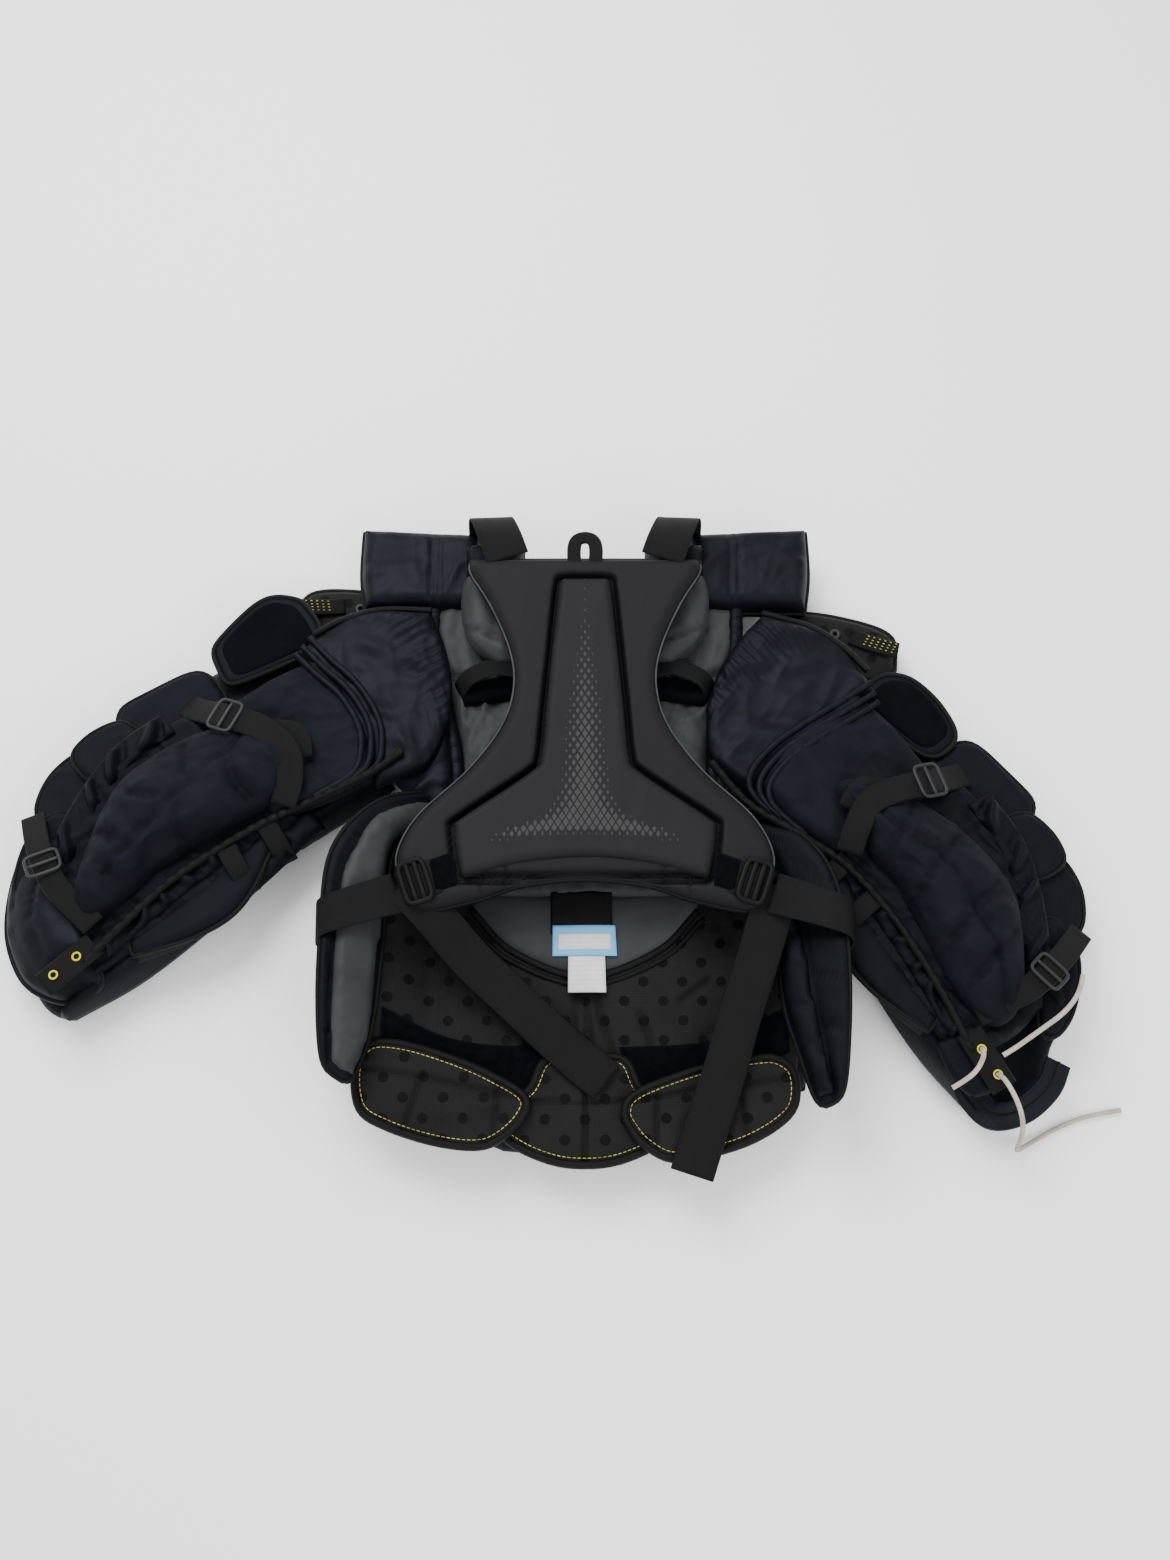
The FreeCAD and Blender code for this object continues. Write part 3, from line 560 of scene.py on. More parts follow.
def stitches(name, line, body, pitch=4.6, long=3.6, thick=0.9, finish="thread"):
    """A row of short thread spindles lying along a line of points in the frame."""
    line = np.asarray(line, float)
    marks = even(line, max(3, int(length_of(line) / pitch)))
    ahead = np.gradient(marks, axis=0)
    ahead /= np.maximum(np.linalg.norm(ahead, axis=1, keepdims=True), 1e-9)
    across = np.cross(ahead, (0, 0, 1.0))
    across /= np.maximum(np.linalg.norm(across, axis=1, keepdims=True), 1e-9)
    normal = np.cross(across, ahead)
    turn = np.arange(6) * math.pi / 3
    rings = []
    for share, size in ((-0.5, 0.25), (-0.3, 0.9), (0.3, 0.9), (0.5, 0.25)):
        offset = (across[:, None] * np.cos(turn)[None, :, None]
                  + normal[:, None] * np.sin(turn)[None, :, None])
        rings.append(marks[:, None] + ahead[:, None] * share * long + offset * size * thick / 2)
    spots = np.stack(rings, axis=1)
    base = grid_quads(4, 6, wrap=True)
    starts = np.arange(len(marks))[:, None, None] * 24
    quads = (base[None] + starts).reshape(-1, 4)
    caps = []
    for start in range(0, len(marks) * 24, 24):
        caps += [np.arange(start, start + 6)[::-1], np.arange(start + 18, start + 24)]
    dress(store(name, spots, quads, None, caps), finish, body)


def dress(piece, finish, body, replaced=(), across=None):
    """Gives a piece its finish and its place in the motion, and hides the parts it stands for. A piece laid
    across a joint is only baked in place and attached to no body.
    """
    piece.data.materials.append(FINISHES[finish])
    if across:
        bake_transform(piece)
    else:
        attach(piece, body)
    if replaced:
        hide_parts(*replaced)


# ---------------------------------------------------------------- finishes

def group(name, inputs, outputs, build):
    tree = bpy.data.node_groups.new(name, "ShaderNodeTree")
    for label, kind, default in inputs:
        socket = tree.interface.new_socket(label, in_out="INPUT", socket_type=kind)
        if default is not None:
            socket.default_value = default
    for label, kind in outputs:
        tree.interface.new_socket(label, in_out="OUTPUT", socket_type=kind)
    build(tree, tree.nodes.new("NodeGroupInput"), tree.nodes.new("NodeGroupOutput"))
    return tree


def calc(tree, operation, *values, clamp=False):
    """A Math node fed by sockets or numbers. Returns its output."""
    node = tree.nodes.new("ShaderNodeMath")
    node.operation = operation
    node.use_clamp = clamp
    for index, entry in enumerate(values):
        if isinstance(entry, (int, float)):
            node.inputs[index].default_value = entry
        else:
            tree.links.new(entry, node.inputs[index])
    return node.outputs[0]


def build_weave(tree, given, result):
    """Crossed threads: |sin| across times |sin| along, each of the place times the threads."""
    parts = tree.nodes.new("ShaderNodeSeparateXYZ")
    tree.links.new(given.outputs["Vector"], parts.inputs[0])
    turns = [calc(tree, "MULTIPLY", parts.outputs[k], given.outputs["Threads"]) for k in (0, 1)]
    waves = [calc(tree, "ABSOLUTE", calc(tree, "SINE", turn)) for turn in turns]
    tree.links.new(calc(tree, "MULTIPLY", *waves), result.inputs["Height"])


def build_mottle(tree, given, result):
    """Slow colour drift of dyed cloth, from layered noise."""
    cloud = tree.nodes.new("ShaderNodeTexNoise")
    cloud.inputs["Detail"].default_value = 4
    cloud.inputs["Roughness"].default_value = 0.6
    tree.links.new(given.outputs["Vector"], cloud.inputs["Vector"])
    tree.links.new(given.outputs["Scale"], cloud.inputs["Scale"])
    stretch = tree.nodes.new("ShaderNodeMapRange")
    stretch.inputs["From Min"].default_value = 0.3
    stretch.inputs["From Max"].default_value = 0.7
    tree.links.new(cloud.outputs["Fac"], stretch.inputs["Value"])
    tree.links.new(stretch.outputs[0], result.inputs["Factor"])


def off_middle(tree, place, pitch, shift):
    """How far a place is from the middle of its cell, as a share of the pitch, with the cells shifted."""
    cell = calc(tree, "FRACT", calc(tree, "ADD", calc(tree, "DIVIDE", place, pitch), 100.0 + shift))
    return calc(tree, "ABSOLUTE", calc(tree, "SUBTRACT", cell, 0.5))


def build_dots(tree, given, result):
    """Round dots on a skewed grid: the distance to the nearest of two offset lattices, cut at the radius."""
    parts = tree.nodes.new("ShaderNodeSeparateXYZ")
    tree.links.new(given.outputs["Vector"], parts.inputs[0])
    masks = []
    for shift in (0.0, 0.5):
        gaps = [off_middle(tree, parts.outputs[k], given.outputs["Pitch"], shift) for k in (0, 1)]
        reach = calc(tree, "SQRT", calc(tree, "ADD", *[calc(tree, "POWER", gap, 2.0) for gap in gaps]))
        masks.append(calc(tree, "LESS_THAN", reach, given.outputs["Radius"]))
    tree.links.new(calc(tree, "MAXIMUM", *masks), result.inputs["Mask"])


VECTOR, FLOAT = "NodeSocketVector", "NodeSocketFloat"
WEAVE = group("weave", [("Vector", VECTOR, None), ("Threads", FLOAT, 3000.0)], [("Height", FLOAT)],
              build_weave)
MOTTLE = group("mottle", [("Vector", VECTOR, None), ("Scale", FLOAT, 20.0)], [("Factor", FLOAT)],
               build_mottle)
DOTS = group("dots", [("Vector", VECTOR, None), ("Pitch", FLOAT, 0.03), ("Radius", FLOAT, 0.18)],
             [("Mask", FLOAT)], build_dots)


def use(tree, effect, **values):
    node = tree.nodes.new("ShaderNodeGroup")
    node.node_tree = effect
    for label, entry in values.items():
        if isinstance(entry, (int, float)):
            node.inputs[label].default_value = entry
        else:
            tree.links.new(entry, node.inputs[label])
    return node.outputs[0]


def mix(tree, share, first, second):
    node = tree.nodes.new("ShaderNodeMix")
    node.data_type = "RGBA"
    tree.links.new(share, node.inputs["Factor"])
    for index, entry in ((6, first), (7, second)):
        if isinstance(entry, tuple):
            node.inputs[index].default_value = (*entry, 1)
        else:
            tree.links.new(entry, node.inputs[index])
    return node.outputs[2]


def cloth_finish(name, dark, light, threads=2600, bump=0.25, rough=(0.55, 0.75), drift=18, sheen=0.0,
                 grain=0.0, gloss=0.12, pattern=None, own_map=True, folds=True):
    """Dyed cloth: two shades drifting into each other, with painted shade that darkens it in its folds, a
    woven or grained bump and its own gloss range."""
    finish = bpy.data.materials.new(name)
    finish.use_nodes = True
    tree = finish.node_tree
    shader = tree.nodes["Principled BSDF"]
    shader.inputs["Sheen Weight"].default_value = sheen
    shader.inputs["Sheen Roughness"].default_value = 0.4
    shader.inputs["Sheen Tint"].default_value = (0.45, 0.5, 0.62, 1)
    shader.inputs["Specular IOR Level"].default_value = gloss
    shader.inputs["Specular Tint"].default_value = (*[(part / max(light)) ** 0.5 for part in light], 1)
    place = tree.nodes.new("ShaderNodeTexCoord").outputs["Object"]
    flat_map = tree.nodes.new("ShaderNodeUVMap")
    flat_map.uv_map = "cloth"
    plan = flat_map.outputs[0] if own_map else place
    shade = use(tree, MOTTLE, Vector=place, Scale=drift)
    colour = mix(tree, shade, dark, light)
    if pattern:
        colour = pattern(tree, plan, colour)
    # Painted shade: the colour is mixed towards near-black where open_share marks a fold that gets less
    # light.
    if folds:
        open_share = tree.nodes.new("ShaderNodeAttribute")
        open_share.attribute_name = "open_share"
        colour = mix(tree, open_share.outputs["Fac"], (0.0006, 0.0006, 0.0008), colour)
    tree.links.new(colour, shader.inputs["Base Color"])
    dull = tree.nodes.new("ShaderNodeMapRange")
    dull.inputs["To Min"].default_value, dull.inputs["To Max"].default_value = rough
    tree.links.new(shade, dull.inputs["Value"])
    tree.links.new(dull.outputs[0], shader.inputs["Roughness"])
    height = use(tree, WEAVE, Vector=plan, Threads=float(threads))
    if grain:
        speckle = tree.nodes.new("ShaderNodeTexNoise")
        speckle.inputs["Scale"].default_value = grain
        speckle.inputs["Detail"].default_value = 3
        tree.links.new(place, speckle.inputs["Vector"])
        height = calc(tree, "ADD", calc(tree, "MULTIPLY", height, 0.4), speckle.outputs["Fac"])
    lift = tree.nodes.new("ShaderNodeBump")
    lift.inputs["Strength"].default_value = bump
    lift.inputs["Distance"].default_value = 0.0006
    tree.links.new(height, lift.inputs["Height"])
    tree.links.new(lift.outputs[0], shader.inputs["Normal"])
    return finish


def grey(level, tint=(1, 1, 1)):
    """A dark neutral shade from its display value, 0 to 255."""
    share = level / 255
    linear = share / 12.92 if share <= 0.04045 else ((share + 0.055) / 1.055) ** 2.4
    return tuple(linear * t for t in tint)


def mesh_pattern(tree, plan, colour):
    """Open net over a dark backing, with darker dots."""
    net_lines = use(tree, WEAVE, Vector=plan, Threads=2100.0)
    colour = mix(tree, calc(tree, "POWER", net_lines, 0.5), grey(9), colour)
    spots = use(tree, DOTS, Vector=plan, Pitch=0.037, Radius=0.135)
    return mix(tree, spots, colour, grey(3))


def diamond_pattern(tree, plan, colour):
    """Lighter diamonds on a skewed lattice, in a column that flares into a foot, smaller at its edges."""
    parts = tree.nodes.new("ShaderNodeSeparateXYZ")
    tree.links.new(plan, parts.inputs[0])
    x, y = parts.outputs[0], parts.outputs[1]
    wide, tall = 0.0072, 0.0119
    cells = []
    for shift in (0.0, 0.5):
        cells.append(calc(tree, "ADD", off_middle(tree, x, wide, shift),
                          off_middle(tree, y, tall, shift)))
    nearest = calc(tree, "MINIMUM", *cells)
    column = tree.nodes.new("ShaderNodeFloatCurve")
    reach = tree.nodes.new("ShaderNodeMapRange")
    foot, tip = -0.016, 0.230
    reach.inputs["From Min"].default_value = foot
    reach.inputs["From Max"].default_value = tip
    tree.links.new(y, reach.inputs["Value"])
    tree.links.new(reach.outputs[0], column.inputs["Value"])
    points = column.mapping.curves[0].points
    points[0].location = (0.0, 0.99)
    points[1].location = (1.0, 0.03)
    for spot in ((0.06, 0.78), (0.12, 0.42), (0.19, 0.29), (0.35, 0.22), (0.55, 0.18), (0.8, 0.09)):
        points.new(*spot)
    column.mapping.update()
    half = calc(tree, "MULTIPLY", column.outputs[0], 0.1)
    inside = calc(tree, "DIVIDE", calc(tree, "SUBTRACT", half, calc(tree, "ABSOLUTE", x)), 0.022,
                  clamp=True)
    arch = calc(tree, "MULTIPLY", calc(tree, "MULTIPLY", x, x), -1.1)
    low = calc(tree, "DIVIDE", calc(tree, "SUBTRACT", calc(tree, "ADD", y, 0.008), arch), 0.009,
               clamp=True)
    size = calc(tree, "MULTIPLY", calc(tree, "MULTIPLY", calc(tree, "POWER", inside, 0.55), low), 0.4)
    mask = calc(tree, "LESS_THAN", nearest, size)
    return mix(tree, mask, colour, grey(50))


def label_rows(tree, plan, colour):
    """Faint grey rows woven into a light label: sin of the height on it, cut near its crests."""
    parts = tree.nodes.new("ShaderNodeSeparateXYZ")
    tree.links.new(plan, parts.inputs[0])
    rows = calc(tree, "GREATER_THAN",
                calc(tree, "SINE", calc(tree, "MULTIPLY", parts.outputs[1], 1400.0)), 0.75)
    return mix(tree, calc(tree, "MULTIPLY", rows, 0.25), colour, grey(150))


def plastic_finish(name, level, rough=0.42, gloss=0.25):
    return cloth_finish(name, grey(level * 0.85), grey(level), threads=900, bump=0.06,
                        rough=(rough, rough + 0.15), grain=900, gloss=gloss, own_map=False)


NAVY = (0.84, 0.94, 1.4)
FINISHES = {
    "satin": cloth_finish("black_satin", grey(5, NAVY), grey(12, NAVY), threads=4200, bump=0.12,
                          rough=(0.48, 0.6), drift=14, gloss=0.12),
    "shell": cloth_finish("black_shell_cloth", grey(5, NAVY), grey(11, NAVY), threads=2400, bump=0.3,
                          rough=(0.5, 0.66), drift=16, gloss=0.1),
    "dome": cloth_finish("brushed_inner_cloth", grey(9, NAVY), grey(17, NAVY), threads=3000, bump=0.25,
                         rough=(0.6, 0.8), drift=20, sheen=0.02, grain=1400, gloss=0.1),
    "grey": cloth_finish("charcoal_satin", grey(36, (0.93, 1, 1.04)), grey(52, (0.93, 1, 1.04)),
                         threads=4200, bump=0.12, rough=(0.5, 0.62), drift=12, gloss=0.14),
    "back": cloth_finish("moulded_back_cloth", grey(17, (1.04, 0.97, 1.08)), grey(24, (1.04, 0.97, 1.08)),
                         threads=3600, bump=0.1, rough=(0.58, 0.7), drift=9, grain=2200, gloss=0.1),
    "core": cloth_finish("printed_core_cloth", grey(20, (1.04, 0.97, 1.08)), grey(27, (1.04, 0.97, 1.08)),
                         threads=3600, bump=0.1, rough=(0.56, 0.68), drift=9, grain=2200, gloss=0.1,
                         pattern=diamond_pattern),
    "net": cloth_finish("dotted_net", grey(18), grey(32), threads=2100, bump=0.4, rough=(0.62, 0.78),
                        drift=10, gloss=0.1, pattern=mesh_pattern),
    "webbing": cloth_finish("ribbed_webbing", grey(8), grey(15), threads=5200, bump=0.5,
                            rough=(0.55, 0.7), drift=30, gloss=0.12),
    "binding": cloth_finish("edge_tape", grey(5), grey(12), threads=4200, bump=0.35, rough=(0.5, 0.65),
                            drift=40, gloss=0.12),
    "piping": cloth_finish("grey_edge_tape", grey(46), grey(66), threads=4200, bump=0.35,
                           rough=(0.5, 0.65), drift=40),
    "velour": cloth_finish("velour_pile", grey(4, NAVY), grey(10, NAVY), threads=6000, bump=0.5,
                           rough=(0.8, 0.95), drift=60, sheen=0.04, grain=2600, gloss=0.05),
    "hooks": cloth_finish("hook_tape", grey(2, NAVY), grey(9, NAVY), threads=5200, bump=0.9,
                          rough=(0.85, 0.95), drift=90, sheen=0.02, grain=3200, gloss=0.05),
    "leather": cloth_finish("smooth_leather", grey(7, NAVY), grey(13, NAVY), threads=800, bump=0.12,
                            rough=(0.46, 0.6), drift=14, grain=1300, gloss=0.13, own_map=False),
    "thread": cloth_finish("yellow_thread", (0.15, 0.14, 0.03), (0.5, 0.47, 0.1), threads=3000, bump=0.2,
                           rough=(0.6, 0.7), drift=90, own_map=False),
    "eyelet": cloth_finish("yellow_eyelet", (0.46, 0.44, 0.02), (0.6, 0.57, 0.03), threads=3000, bump=0.1,
                           rough=(0.35, 0.5), drift=60, own_map=False),
    "lace": cloth_finish("waxed_lace", grey(150, (1, 0.9, 0.74)), grey(180, (1, 0.91, 0.76)),
                         threads=2600, bump=0.8, rough=(0.6, 0.75), drift=60, grain=1500, own_map=False,
                         folds=False),
    "label_black": cloth_finish("woven_black_label", grey(5), grey(9), threads=5200, bump=0.3,
                                rough=(0.5, 0.6), drift=20),
    "label_white": cloth_finish("woven_white_label", grey(182), grey(208), threads=5200, bump=0.2,
                                rough=(0.6, 0.7), drift=20, pattern=label_rows),
    "label_blue": cloth_finish("woven_blue_label", (0.1, 0.33, 0.58), (0.13, 0.4, 0.66), threads=5200,
                               bump=0.2, rough=(0.6, 0.7), drift=20),
    "plastic": plastic_finish("moulded_buckle", 30),
    "insert": plastic_finish("moulded_insert", 6, 0.5, 0.12),
}


# ---------------------------------------------------------------- small hardware

def buckle(name, centre, along, size, bar_count, body, replaced=(), upward=(0, 0, 1), thick=4.5,
           finish="plastic"):
    """A slider buckle: a rounded frame with bars across it."""
    centre, along, upward = (np.array(v, float) for v in (centre, along, upward))
    along = along / np.linalg.norm(along)
    across = np.cross(upward, along)
    across /= np.linalg.norm(across)
    half_along, half_across = size[0] / 2, size[1] / 2
    turn = np.linspace(0, 2 * math.pi, 56, endpoint=False)
    power = 0.35
    u = np.sign(np.cos(turn)) * np.abs(np.cos(turn)) ** power * half_along
    v = np.sign(np.sin(turn)) * np.abs(np.sin(turn)) ** power * half_across
    loop = centre + u[:, None] * along + v[:, None] * across
    loop = even(np.vstack([loop, loop[:1]]), 57)[:-1]
    pieces = [carried(name, loop, round_section(thick, thick * 0.8, 8), upward, closed=True)]
    for index in range(bar_count):
        shift = (index - (bar_count - 1) / 2) * size[0] / (bar_count + 1)
        ends = [centre + along * shift + across * (half_across * s) for s in (-0.98, 0.98)]
        bar = carried(f"{name}_bar_{index}", spread(ends, 8), round_section(thick, thick * 0.7, 8),
                      upward)
        pieces.append(bar)
    for piece in pieces:
        dress(piece, finish, body)
    if replaced:
        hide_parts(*replaced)


def level_ring(name, spot, radius, section, count):
    """A ring lying level: its section carried round a circle of so many points."""
    turn = np.linspace(0, 2 * math.pi, count, endpoint=False)
    line = np.array(spot) + np.stack([np.cos(turn) * radius, np.sin(turn) * radius, 0 * turn], axis=1)
    return carried(name, line, section, (0, 0, 1), closed=True)


# ---------------------------------------------------------------- torso

def sided(points, side):
    """A right-hand plan's points, mirrored for the left side."""
    return [(side * x, y) for x, y in points]


def both(right):
    """The four sides of a shape that is the same both ways, from its right side upwards."""
    left = sided(right, -1)
    return [left[0], right[0]], right, [left[-1], right[-1]], left


BELLY_HEIGHT = 32
BELLY_HALF = 148
BELLY_LOW = -232
BELLY_EASE = 90
FLANK_WIDTH = 86
FLANK_RISE = 54
WING_MIDDLE = 12


def flank(x):
    """Height of the side wings' underside, rising in a straight slope from the belly outwards."""
    return BELLY_HEIGHT + np.clip((np.abs(x) - BELLY_HALF) / FLANK_WIDTH, 0, 1.12) * FLANK_RISE


def belly_rise(x, y):
    """Height of the belly lining: the wings' underside, sinking to the belly's height at the lower edge."""
    share = np.clip((y - BELLY_LOW) / BELLY_EASE, 0, 1)
    return BELLY_HEIGHT + (flank(x) - BELLY_HEIGHT) * share * share * (3 - 2 * share)


def half_rise(x, y):
    """Half the room under the belly lining, less a little air."""
    return belly_rise(x, y) / 2 - 4


def make_chest_foam():
    """Quilted foam of the chest, with two seams across it and one along it."""
    chest_right = [(138, -170), (150, -110), (150, 60), (128, 110), (118, 180), (118, 250)]
    seams = [[(-118, 0), (118, 0)], [(-118, 110), (118, 110)], [(0, -160), (0, 250)]]

    def quilting(x, y, gap):
        return sum(groove(distance(x, y, seam), 5, 3) for seam in seams)

    chest, _ = cushion("chest_foam", both(chest_right), level=16, up=15, down=15, edge=16, relief=quilting,
                       step=5)
    dress(chest, "shell", "torso", ("chest_pad", "rib_pads", "sternum_plate"))


def make_belly_foam():
    right = [(76, -284), (140, -256), (152, -215), (148, -166)]
    sides = ([(-76, -284), (0, -290), (76, -284)], right, [(-148, -166), (148, -166)], sided(right, -1))
    belly, _ = cushion("belly_foam", sides, level=16, up=14, down=15, edge=14, step=5)
    dress(belly, "shell", "torso", ("belly_pad",))


def make_flank_foam():
    """Foam beside the belly, as thick as the room under the wings."""
    plan = ([(136, -232), (170, -240), (208, -228)], [(208, -228), (220, -150), (218, -60), (196, 18)],
            [(136, 26), (196, 18)], [(136, -232), (136, 26)])
    for suffix, side in SIDES.items():
        sides = [sided(points, side) for points in plan]
        foam, _ = cushion(f"flank_foam_{suffix}", sides, level=lambda x, y: belly_rise(x, y) / 2 - 2,
                          up=half_rise, down=half_rise, edge=16, step=5)
        dress(foam, "shell", "torso")


def make_belly_net():
    """Net lining of the belly, gathered at its seams."""
    sides = ([(-196, -226), (-120, -224), (0, -216), (120, -224), (196, -226)],
             [(196, -226), (205, -150), (203, -60), (186, 14)],
             [(-186, 14), (-150, 10), (150, 10), (186, 14)],
             [(-196, -226), (-205, -150), (-203, -60), (-186, 14)])
    tucks = [[(-6, -128), (-10, -160), (-20, -206)], [(8, -128), (14, -160), (30, -206)],
             [(-104, -128), (-82, -140)], [(118, -128), (92, -146)], [(-52, -176), (-60, -206)],
             [(52, -160), (62, -186)], [(2, -128), (4, -206)]]

    def gathers(x, y, gap):
        sewn = sum(groove(distance(x, y, spread(tuck, 20)), 3.5, 4.5) for tuck in tucks)
        return sewn + 2.4 * creases(x, y, 46, 3, 0.5) + 1.2 * creases(x, y, 24, 8, 2.2)

    liner, _ = cushion("belly_net", sides, level=lambda x, y: belly_rise(x, y) + 1.5, up=5, down=2,
                       edge=12, relief=gathers, step=2.8)
    dress(liner, "net", "torso", ("belly_liner",))


def make_sternum_crescent():
    """Grey crescent under the yoke, with two bindings along its lower edge."""
    crescent_sides = ([(-109, -60), (-70, -100), (0, -125), (70, -100), (109, -60)],
                      [(109, -60), (111, -40)], [(-111, -40), (111, -40)], [(-109, -60), (-111, -40)])
    crescent, _ = cushion("sternum_crescent", crescent_sides, level=40, up=4, down=2, edge=14, step=3)
    dress(crescent, "grey", "torso", ("sternum_liner",))
    for index, (grow, size) in enumerate(((0, 7), (8, 5))):
        line = spread([(x * (1 + grow / 160), y - grow) for x, y in crescent_sides[0]], 70)
        rope(f"crescent_binding_{index}", line, 41, size, size, "torso")


def make_hook_tapes():
    """Hook tape across the belly lining, one strip on each side."""
    inner_low, inner_high, outer_high, outer_low = (46, -234), (32, -192), (188, -158), (190, -198)
    plan = ([inner_low, (118, -222), outer_low], [outer_low, outer_high],
            [inner_high, (116, -186), outer_high], [inner_low, inner_high])
    for suffix, side in SIDES.items():
        sides = [sided(points, side) for points in plan]
        tape, _ = cushion(f"hook_tape_{suffix}", sides, level=lambda x, y: belly_rise(x, y) + 9.5,
                          up=1.6, down=1.5, edge=3, step=3.5, rim=1.0)
        dress(tape, "hooks", "torso", ("hook_strip",) if side < 0 else ())


def make_labels():
    """Blank woven labels, each a thin tag with a slight wave."""
    def tag(name, x_low, x_high, y_low, y_high, z, finish, replaced=(), sway=0.0):
        sides = ([(x_low, y_low), (x_high + sway, y_low)], [(x_high + sway, y_low), (x_high, y_high)],
                 [(x_low, y_high), (x_high, y_high)], [(x_low, y_low), (x_low, y_high)])
        piece, _ = cushion(name, sides, level=lambda x, y: z + 0.9 * np.sin(x / 13 + 1), up=0.3, down=0.3,
                           edge=1.0, step=3, rim=0.4)
        dress(piece, finish, "torso", replaced)

    tag("maker_patch", -33, 26, -84, -42, 46.2, "label_black", ("maker_label",))
    tag("size_label_border", -31, 29, -106, -76, 47.4, "label_blue", sway=1.5)
    tag("size_label", -26, 25, -100, -84, 48.2, "label_white")
    tag("care_patch", -16, 19, -141, -105, 46.6, "label_white", ("care_label",), sway=1.0)


def make_yoke():
    """Grey satin over the upper back, creased beside its smooth middle and tucked twice."""
    right = [(134, -48), (138, 20), (124, 92), (136, 150), (152, 200), (156, 262), (128, 290), (122, 312)]
    tuck_lines = ([(-158, 190), (-66, 168)], [(66, 168), (158, 190)])

    def folds(x, y, gap):
        broad = 4.6 * creases(x, y, 30, 21, 1.2) * (np.abs(x) > 40)
        narrow = 2.2 * creases(x, y, 13, 23, 1.9, 3.4)
        return broad + narrow + sum(groove(distance(x, y, line), 6, 6) for line in tuck_lines)

    yoke, _ = cushion("yoke_satin", both(right), level=39, up=8, down=7, edge=14, relief=folds, step=3.2)
    dress(yoke, "grey", "torso", ("yoke_liner",))
    for suffix, side in SIDES.items():
        make_yoke_gather(suffix, side)
        make_underarm(suffix, side)


def make_yoke_gather(suffix, side):
    """A gathered roll along the yoke's side: its height waves along it."""
    line = spread(sided([(140, 10), (128, 60), (130, 100), (141, 150), (153, 200), (157, 266)], side), 90)
    pleats = 47 + 0.9 * np.sin(np.arange(90) * 1.1)
    rope(f"yoke_gather_{suffix}", line, pleats, 15, 12, "torso", finish="satin")


def make_underarm(suffix, side):
    """Creased satin that joins the torso and the sleeve under the arm."""
    corners = [(128, 52), (154, 44), (186, 66), (196, 96), (176, 128), (138, 128)]
    sides = around(sided(corners if side > 0 else corners[::-1], side), (0, 2, 3, 5))
    gusset, _ = cushion(f"underarm_{suffix}", sides, level=44, up=12, down=14, edge=16, step=3,
                        relief=lambda x, y, gap: 3.5 * creases(x, y, 18, 27, 0.8))
    start, end = (side * 0.13, 0.12, 0.04), (side * 0.19, 0.08, 0.04)
    dress(gusset, "satin", None,
          across=("torso", f"upper_arm_{suffix}", start, end))


def make_underarm_laces():
    """A short end of yellow lace through an eye under each arm."""
    for suffix, side in SIDES.items():
        line = spread([(side * 168, 112, 62), (side * 176, 104, 68), (side * 186, 98, 68),
                       (side * 190, 88, 62), (side * 182, 82, 58)], 30)
        lace = carried(f"underarm_lace_{suffix}", line, round_section(3.4, 2.4, 8), (0, 0, 1))
        dress(lace, "thread", f"upper_arm_{suffix}")


def corner_sides(corners, side):
    """Four straight sides between a right-hand plan's corners: low in, low out, high out and high in."""
    low_in, low_out, high_out, high_in = sided(corners, side)
    return [[low_in, low_out], [low_out, high_out], [high_in, high_out], [low_in, high_in]]


def make_collar_pillow(suffix, side):
    """Stuffed satin pillow beside the neck, with one tuck across it."""
    inner = [(62, 190), (70, 230), (92, 288)]
    outer = [(86, 186), (118, 214), (128, 258), (124, 290)]
    sides = [sided(points, side) for points in ([inner[0], outer[0]], outer, [inner[-1], outer[-1]], inner)]
    tuck_line = [(side * 60, 204), (side * 120, 226)]

    def tucks(x, y, gap):
        return 2.6 * creases(x, y, 24, 40, 1.5) + groove(distance(x, y, tuck_line), 3, 4)

    pillow, _ = cushion(f"collar_pillow_{suffix}", sides, level=63, up=14, down=8, edge=15, step=3,
                        relief=tucks, rim=7, swell=6)
    dress(pillow, "grey", "torso", ("collar_pads",) if side < 0 else ())


def make_collar_gap(suffix, side):
    """Dark pile in the gap under the pillow, and the strap that crosses it."""
    sides = corner_sides([(66, 158), (122, 150), (130, 172), (62, 188)], side)
    pile, _ = cushion(f"collar_gap_{suffix}", sides, level=50, up=6, down=4, edge=7, step=3,
                      relief=lambda x, y, gap: 3 * creases(x, y, 14, 44, 0.1))
    dress(pile, "velour", "torso")
    route = [(side * 64, 180, 72), (side * 90, 184, 73), (side * 116, 176, 66), (side * 128, 166, 52)]
    webbing(f"collar_strap_{suffix}", route, 22, "torso", upward=(0, 0.3, 1))


def make_yoke_shoulder(suffix, side):
    sides = corner_sides([(62, 284), (122, 284), (124, 322), (62, 322)], side)
    riser, _ = cushion(f"yoke_shoulder_{suffix}", sides, level=62, up=26, down=20, edge=16, step=4)
    dress(riser, "shell", "torso", ("yoke_risers",) if side < 0 else ())


def make_collar():
    for suffix, side in SIDES.items():
        make_collar_pillow(suffix, side)
        make_collar_gap(suffix, side)
        make_yoke_shoulder(suffix, side)


